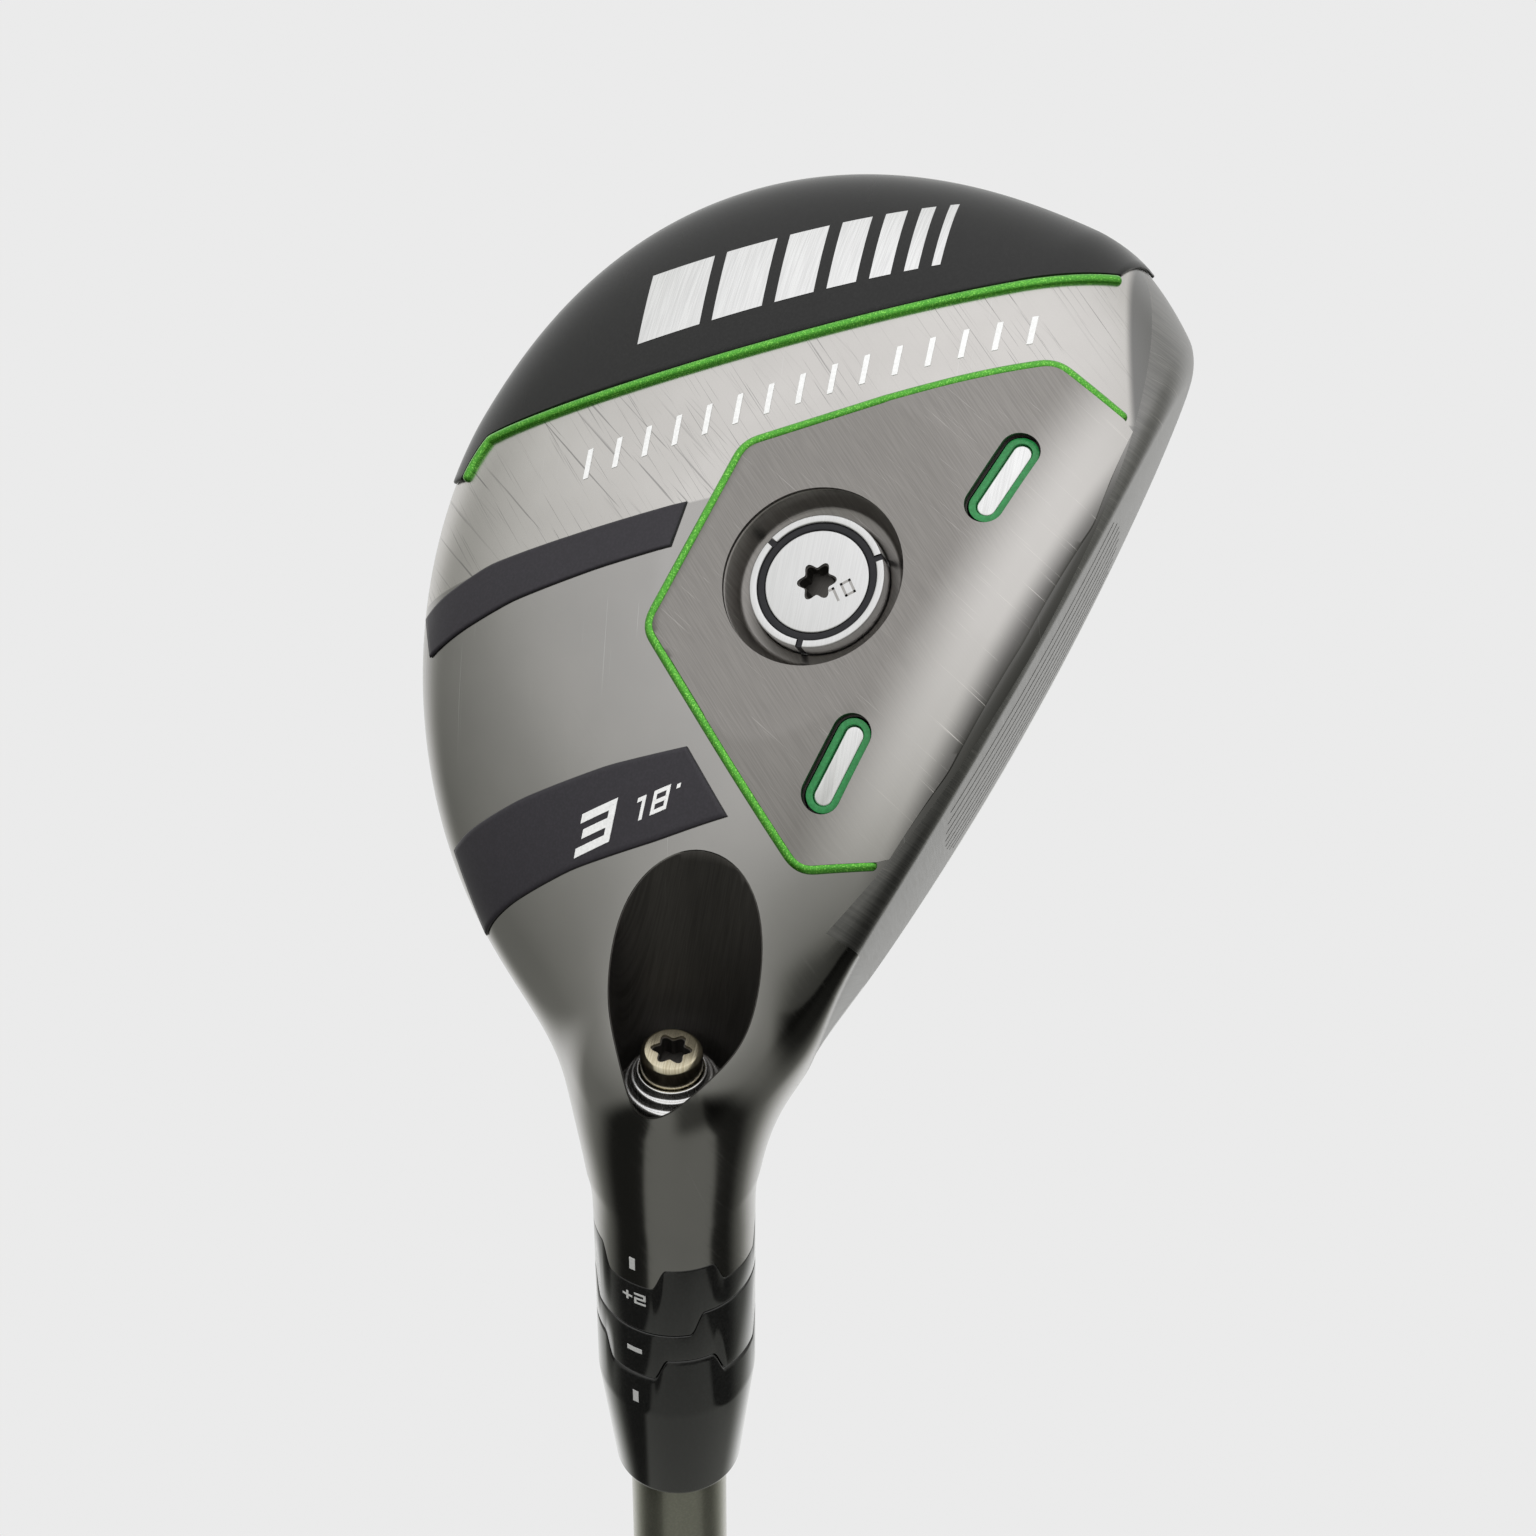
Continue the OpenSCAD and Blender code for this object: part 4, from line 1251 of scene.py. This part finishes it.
# %% Group: soft grain
def grain_group():
    sockets = {"Vector": "Vector", "Size": "Float"}
    tree, given, result = new_group("Shader", "soft_grain", sockets, {"Value": "Float"})
    scale = calc("DIVIDE", 1.0, given["Size"])
    cloud = {"Vector": given["Vector"], "Scale": scale, "Detail": 4.0}
    feed(result, "Value", add(tree, "ShaderNodeTexNoise", cloud).outputs[0])
    return tree


SCRATCHES, GRAIN = scratch_group(), grain_group()


def scratches(where, angle, spacing, length, amount):
    """A mask of single scratches and a value for brushing, at an angle in degrees."""
    values = {"Vector": where, "Angle": math.radians(angle), "Spacing": spacing * MM}
    values |= {"Length": length * MM, "Amount": amount}
    node = add(where.id_data, "ShaderNodeGroup", values, node_tree=SCRATCHES)
    return node.outputs["Mask"], node.outputs["Brush"]


def grain(where, size):
    values = {"Vector": where, "Size": size * MM}
    return add(where.id_data, "ShaderNodeGroup", values, node_tree=GRAIN).outputs["Value"]


def start_material(slot, metallic, roughness, coat=0.0, specular=0.5):
    """A fresh material with one Principled shader. Gives the shader and Object coordinates."""
    material = material_of(slot)
    material.use_nodes = True
    tree = material.node_tree
    tree.nodes.clear()
    values = {"Metallic": metallic, "Roughness": roughness, "Specular IOR Level": specular}
    values |= {"Coat Weight": coat, "Coat Roughness": 0.04}
    shader = add(tree, "ShaderNodeBsdfPrincipled", values)
    add(tree, "ShaderNodeOutputMaterial", {0: shader.outputs[0]})
    return shader, add(tree, "ShaderNodeTexCoord").outputs["Object"]


def bump(shader, height, strength, distance):
    values = {"Height": height, "Strength": strength, "Distance": distance * MM}
    feed(shader, "Normal", add(shader.id_data, "ShaderNodeBump", values).outputs[0])


# %% [markdown]
# The cast body is one piece of steel with several finishes: a bright buffed band across the sole,
# a satin middle, a smoky toe and a polished neck, with painted shade along the front edge by the
# face. How far each point lies from the border of a finish is stored on the mesh, so that the
# borders stay crisp.


# %% Store the borders of the finishes on the casting
def store(thing, name, rule):
    mesh = thing.data
    points = np.empty(len(mesh.vertices) * 3)
    mesh.vertices.foreach_get("co", points)
    points = points.reshape(-1, 3) / MM
    values = rule(points).astype(np.float32)
    layer = mesh.attributes.new(name, "FLOAT", "POINT")
    layer.data.foreach_set("value", values)
    print(name, "runs from", round(float(values.min()), 1), "to", round(float(values.max()), 1))


def stored(where, name):
    """Reads a stored value back in a shader."""
    return add(where.id_data, "ShaderNodeAttribute", attribute_name=name).outputs["Fac"]


def past_line(points, start, end):
    """Distance of points to the right of a line on the sole's layout, in millimetres."""
    d = np.subtract(end, start) / np.linalg.norm(np.subtract(end, start))
    return (points[:, 0] - start[0]) * d[1] - (points[:, 1] - start[1]) * d[0]


store(casting, "band", lambda p: past_line(p, (-12.0, -20.7), (1.3, -3.9)))


def face_end(p):
    """Above zero on the strip along the face, short of the curve that ends it by the neck."""
    strip_from, strip_end, curve_low, curve = 2.5, 44.5, 9, 0.02
    before_end = p[:, 0] + strip_end - curve * (p[:, 2] - curve_low) ** 2
    return np.minimum(face_rule(p) - body_rule(p) - strip_from, before_end)


store(casting, "face_end", face_end)
store(casting, "toe_edge", lambda p: past_line(p, (39.9, 18.6), (26.4, 27.8)))


# %% Polished and satin steel of the body
def smoked_steel():
    shader, where = start_material("smoked_steel", 1.0, 0.14)
    in_band = remap(stored(where, "band"), -0.12, 0.12)
    in_toe = remap(stored(where, "toe_edge"), -0.1, 0.6)
    in_face = remap(stored(where, "face_end"), -1.2, 1.2)
    # painted shade: the steel turns almost black towards the front edge by the face
    corner = times(remap(coordinate(where, 1), 27.5 * MM, 30.5 * MM), 0.8)
    hairline, brushed = scratches(where, 62, 0.09, 14, 0.85)
    cross, _ = scratches(where, 28, 0.12, 22, 0.5)
    cloud = grain(where, 9)
    tone = mix_colour(cloud, grey(0.38, 0.02), grey(0.45, 0.03))
    bright = mix_colour(cloud, grey(0.56, 0.035), grey(0.68, 0.03))
    bright = mix_colour(times(hairline, 0.75), bright, grey(0.2))
    gouges, _ = scratches(where, 70, 0.3, 18, 0.95)
    worn = remap(coordinate(where, 0), 16 * MM, 2 * MM)
    gouges = times(gouges, mix_value(worn, 0.08, 0.6))
    bright = mix_colour(gouges, bright, grey(0.16))
    tone = mix_colour(in_band, tone, bright)
    tone = mix_colour(in_toe, tone, grey(0.24, 0.01))
    tone = mix_colour(corner, tone, grey(0.09, 0.02))
    tone = mix_colour(in_face, tone, grey(0.3, 0.01))
    tone = mix_colour(times(cross, 0.35), tone, grey(0.8))
    feed(shader, "Base Color", tone)
    rough = mix_value(in_band, 0.1, 0.2)
    rough = mix_value(in_face, rough, 0.3)
    rough = plus(rough, times(brushed, 0.10))
    feed(shader, "Roughness", rough)
    bump(shader, plus(hairline, times(brushed, 0.2)), 0.08, 0.02)


# %% Brushed steels
def brushed_steel(slot, dark, light, angle, rough, scuff_and_shade_from=None, strength=0.12, wear=0.35):
    """Brushed metal. Past a given distance towards the face, in millimetres, it scuffs and wears
    lighter, and closer to the face painted shade darkens the corner.
    """
    shader, where = start_material(slot, 1.0, rough)
    _, brushed = scratches(where, angle, 0.12, 5.0, 0.4)
    marks, _ = scratches(where, angle + 14, 0.10, 7.0, 0.75)
    spots = grain(where, 2.5)
    tone = mix_colour(remap(brushed, 0.3, 0.7), dark, light)
    tone = mix_colour(times(spots, 0.25), tone, light)
    if scuff_and_shade_from is not None:
        y = coordinate(where, 1)
        edge = remap(y, scuff_and_shade_from * MM, (scuff_and_shade_from + 5) * MM)
        wear = mix_value(edge, 0.25, 0.8)
        worn = remap(y, (scuff_and_shade_from - 3) * MM, (scuff_and_shade_from + 3.5) * MM)
        # painted shade: the corner nearest the face turns almost black
        corner = remap(y, (scuff_and_shade_from + 4.5) * MM, (scuff_and_shade_from + 7) * MM)
        tone = mix_colour(times(worn, 0.8), tone, grey(0.7, 0.03))
        tone = mix_colour(times(corner, 0.85), tone, grey(0.08, 0.03))
    tone = mix_colour(times(marks, wear), tone, grey(0.78, 0.04))
    feed(shader, "Base Color", tone)
    level = plus(rough - 0.08, times(brushed, 0.18))
    feed(shader, "Roughness", level)
    bump(shader, brushed, strength, 0.03)


# %% Glossy black, the inlays and the anodised rings
def glossy(slot, tone, speck, rough, coat, metallic=0.0, specular=0.5, ripple=0.02):
    shader, where = start_material(slot, metallic, rough, coat, specular)
    fine, soft = grain(where, 0.25), grain(where, 6)
    colour = mix_colour(remap(fine, 0.35, 0.75), tone, speck)
    feed(shader, "Base Color", colour)
    marks, _ = scratches(where, 35, 0.1, 12, 0.45)
    level = plus(mix_value(soft, rough * 0.8, rough * 1.25), times(marks, 0.12))
    feed(shader, "Roughness", level)
    bump(shader, soft, ripple, 0.02)


def green_bead():
    shader, where = start_material("trim_green", 0.75, 0.27, 0.5)
    flake = grain(where, 0.14)
    cloud = grain(where, 3)
    tone = mix_colour(cloud, (0.05, 0.3, 0.02, 1), (0.1, 0.46, 0.035, 1))
    tone = mix_colour(remap(flake, 0.5, 0.7), tone, (0.3, 0.8, 0.12, 1))
    feed(shader, "Base Color", tone)
    bump(shader, flake, 0.15, 0.05)


def rubber(slot, tone, rough, pore):
    shader, where = start_material(slot, 0.0, rough, specular=0.35)
    fine, soft = grain(where, pore), grain(where, 14)
    colour = mix_colour(soft, tone, tuple(min(1, v * 1.7) for v in tone[:3]) + (1,))
    feed(shader, "Base Color", colour)
    feed(shader, "Roughness", mix_value(fine, rough - 0.12, min(1, rough + 0.12)))
    bump(shader, fine, 0.4, 0.08)


smoked_steel()
brushed_steel("face_steel", grey(0.25, 0.01), grey(0.33, 0.02), 90, 0.34)
brushed_steel("pad_steel", grey(0.25, 0.05), grey(0.31, 0.05), 62, 0.33, scuff_and_shade_from=24)
brushed_steel("bright_steel", grey(0.74), grey(0.9), 20, 0.24, strength=0.05)
brushed_steel("turned_steel", grey(0.72), grey(0.8), 20, 0.3, strength=0.02, wear=0.05)
brushed_steel("inner_steel", grey(0.09, 0.06), grey(0.12, 0.06), 0, 0.5, strength=0.02, wear=0.03)
brushed_steel("dense_metal", grey(0.4, 0.03), grey(0.5, 0.03), 45, 0.45)
brushed_steel("sleeve_metal", grey(0.6, -0.01), grey(0.75, -0.01), 5, 0.28)
brushed_steel("screw_steel", (0.5, 0.44, 0.3, 1), (0.72, 0.66, 0.5, 1), 30, 0.2, strength=0.04)
glossy("crown_gloss", grey(0.006), grey(0.012), 0.1, 0.7)
glossy("crown_black", grey(0.006), grey(0.011), 0.22, 0.12, specular=0.3)
glossy("inlay_black", (0.027, 0.025, 0.03, 1), (0.034, 0.031, 0.038, 1), 0.34, 0.0, specular=0.3)
glossy("adapter_black", grey(0.012), grey(0.024), 0.12, 0.7, ripple=0.01)
glossy("shaft_pewter", (0.4, 0.4, 0.33, 1), (0.47, 0.47, 0.39, 1), 0.3, 0.5, metallic=0.85)
glossy("enamel_green", (0.01, 0.2, 0.045, 1), (0.02, 0.28, 0.07, 1), 0.3, 0.3)
glossy("tape_white", grey(0.78), grey(0.88), 0.4, 0.0)
green_bead()
rubber("seal_rubber", (0.012, 0.012, 0.014, 1), 0.55, 0.3)
rubber("grip_rubber", (0.018, 0.018, 0.019, 1), 0.62, 0.5)

# %% Give every piece and every remaining CAD node its finish
for thing in PIECES:
    thing.data.materials.clear()
    thing.data.materials.append(material_of(thing["look"]))
    del thing["look"]
hidden = {name for thing in PIECES for name in thing.get("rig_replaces", [])}
slots_of = {s["node"]: s["material_slot"] for s in frame["record"]["subparts"]}
for name, node in frame["nodes"].items():
    if name in hidden:
        continue
    finish = material_of(slots_of.get(name, "inner_steel"))
    for holder_slot in node.material_slots:
        holder_slot.material = finish
    print("kept from the model:", name, finish.name)

# %% [markdown]
# ## Floor, light and camera
#
# The club is seen from under the floor, so the floor shows only from above. The surroundings are
# pale and even to the eye, but what the polished steel mirrors is a studio: light that grows with
# height, pale paper behind the club, a dark card low at each side, and a dim low front.

# %% Floor
floor_mesh = bpy.data.meshes.new("floor")
half_floor, floor_below = 60.0, 0.0003
corners = [(-1, -1), (1, -1), (1, 1), (-1, 1)]
floor_points = [(x * half_floor, y * half_floor, -floor_below) for x, y in corners]
floor_mesh.from_pydata(floor_points, [], [(0, 1, 2, 3)])
floor = link("floor", floor_mesh)
for kind in ("shadow", "glossy", "diffuse", "transmission"):
    setattr(floor, f"visible_{kind}", False)
floor_paint = bpy.data.materials.new("floor_paint")
floor_paint.use_nodes = True
floor_tree = floor_paint.node_tree
floor_tree.nodes.clear()
pale = add(floor_tree, "ShaderNodeBsdfDiffuse", {"Color": grey(0.9)}).outputs[0]
clear = add(floor_tree, "ShaderNodeBsdfTransparent").outputs[0]
underside = add(floor_tree, "ShaderNodeNewGeometry").outputs["Backfacing"]
either = add(floor_tree, "ShaderNodeMixShader", {0: underside, 1: pale, 2: clear}).outputs[0]
add(floor_tree, "ShaderNodeOutputMaterial", {0: either})
floor_mesh.materials.append(floor_paint)

# %% Camera
camera_at = Vector((-67.77, 186.23, -354.57)) * MM
looks_along = Vector((0.1270057, -0.42751919, 0.89504017))
picture_up = Vector((0.85722552, -0.40666927, -0.31588688))
picture_right = looks_along.cross(picture_up)
turn = Matrix((picture_right, picture_up, -looks_along)).transposed()
camera_data = bpy.data.cameras.new("camera")
camera_data.lens, camera_data.sensor_width = 104.09, 36
camera_data.clip_start, camera_data.clip_end = 0.01, 50
camera = link("camera", camera_data)
camera.matrix_world = Matrix.Translation(camera_at) @ turn.to_4x4()
bpy.context.scene.camera = camera


# %% Surroundings
bpy.context.scene.view_settings.view_transform = "Standard"


def darkened(light, mask, share):
    """Takes a share of the light away where the mask is 1."""
    return times(light, calc("SUBTRACT", 1.0, times(mask, share)))


def surroundings():
    world = bpy.data.worlds.new("studio")
    bpy.context.scene.world = world
    world.use_nodes = True
    tree = world.node_tree
    tree.nodes.clear()
    way = add(tree, "ShaderNodeTexCoord").outputs["Generated"]

    def towards(direction):
        values = {0: way, 1: tuple(direction)}
        return add(tree, "ShaderNodeVectorMath", values, operation="DOT_PRODUCT").outputs["Value"]

    behind_club = towards(looks_along)
    sideways = towards(picture_right)
    upwards = towards(picture_up)
    height = calc("SUBTRACT", upwards, times(behind_club, 0.6))
    lowest, highest = -1.0, 1.2
    ramp = add(tree, "ShaderNodeValToRGB", {0: remap(height, lowest, highest, kind="LINEAR")})
    stops = [(lowest, 0.25), (-0.3, 0.27), (0.2, 0.41), (0.42, 0.52), (0.6, 0.74), (0.8, 0.9)]
    stops.append((highest, 1.1))
    while len(ramp.color_ramp.elements) < len(stops):
        ramp.color_ramp.elements.new(0.5)
    for element, (at, level) in zip(ramp.color_ramp.elements, stops):
        element.position = (at - lowest) / (highest - lowest)
        element.color = grey(level)
    beyond = plus(behind_club, times(upwards, 0.5))
    paper = remap(beyond, 0.42, 0.85)
    off_middle = calc("ABSOLUTE", calc("SUBTRACT", sideways, 0.06))
    card = times(remap(off_middle, 0.43, 0.48), remap(upwards, -0.36, -0.64))
    light = darkened(ramp.outputs[0], card, 0.92)
    light = mix_value(paper, light, 0.86)
    low_front = times(remap(behind_club, 0.1, -0.4), remap(upwards, -0.3, -0.6))
    low_front = times(low_front, remap(sideways, -0.1, 0.2))
    light = darkened(light, low_front, 0.7)
    tint = mix_colour(light, (0.86, 0.88, 0.78, 1), (1, 1, 1, 1))
    shine = add(tree, "ShaderNodeBackground", {"Color": tint, "Strength": light})
    seen = add(tree, "ShaderNodeBackground", {"Color": (0.83, 0.83, 0.83, 1), "Strength": 1.0})
    is_seen = add(tree, "ShaderNodeLightPath").outputs["Is Camera Ray"]
    mix = add(tree, "ShaderNodeMixShader", {0: is_seen, 1: shine.outputs[0], 2: seen.outputs[0]})
    add(tree, "ShaderNodeOutputWorld", {0: mix.outputs[0]})


surroundings()


# %% Soft lights
def soft_light(name, offset, size, watts):
    data = bpy.data.lights.new(name, "AREA")
    data.shape, data.size, data.energy = "DISK", size, watts
    lamp = link(name, data)
    target = Vector((0.0, 0.0, 0.01))
    lamp.location = target + offset
    lamp.rotation_euler = (-offset).to_track_quat("-Z", "Y").to_euler()
    lamp.visible_glossy = False


toward_camera = -looks_along
soft_light("key", toward_camera * 0.7 + picture_up * 0.6 - picture_right * 0.5, 0.5, 5)
soft_light("fill", toward_camera * 0.6 + picture_right * 0.9, 0.5, 2)
soft_light("overhead", Vector((0.3, -0.5, 1.6)), 1.2, 20)
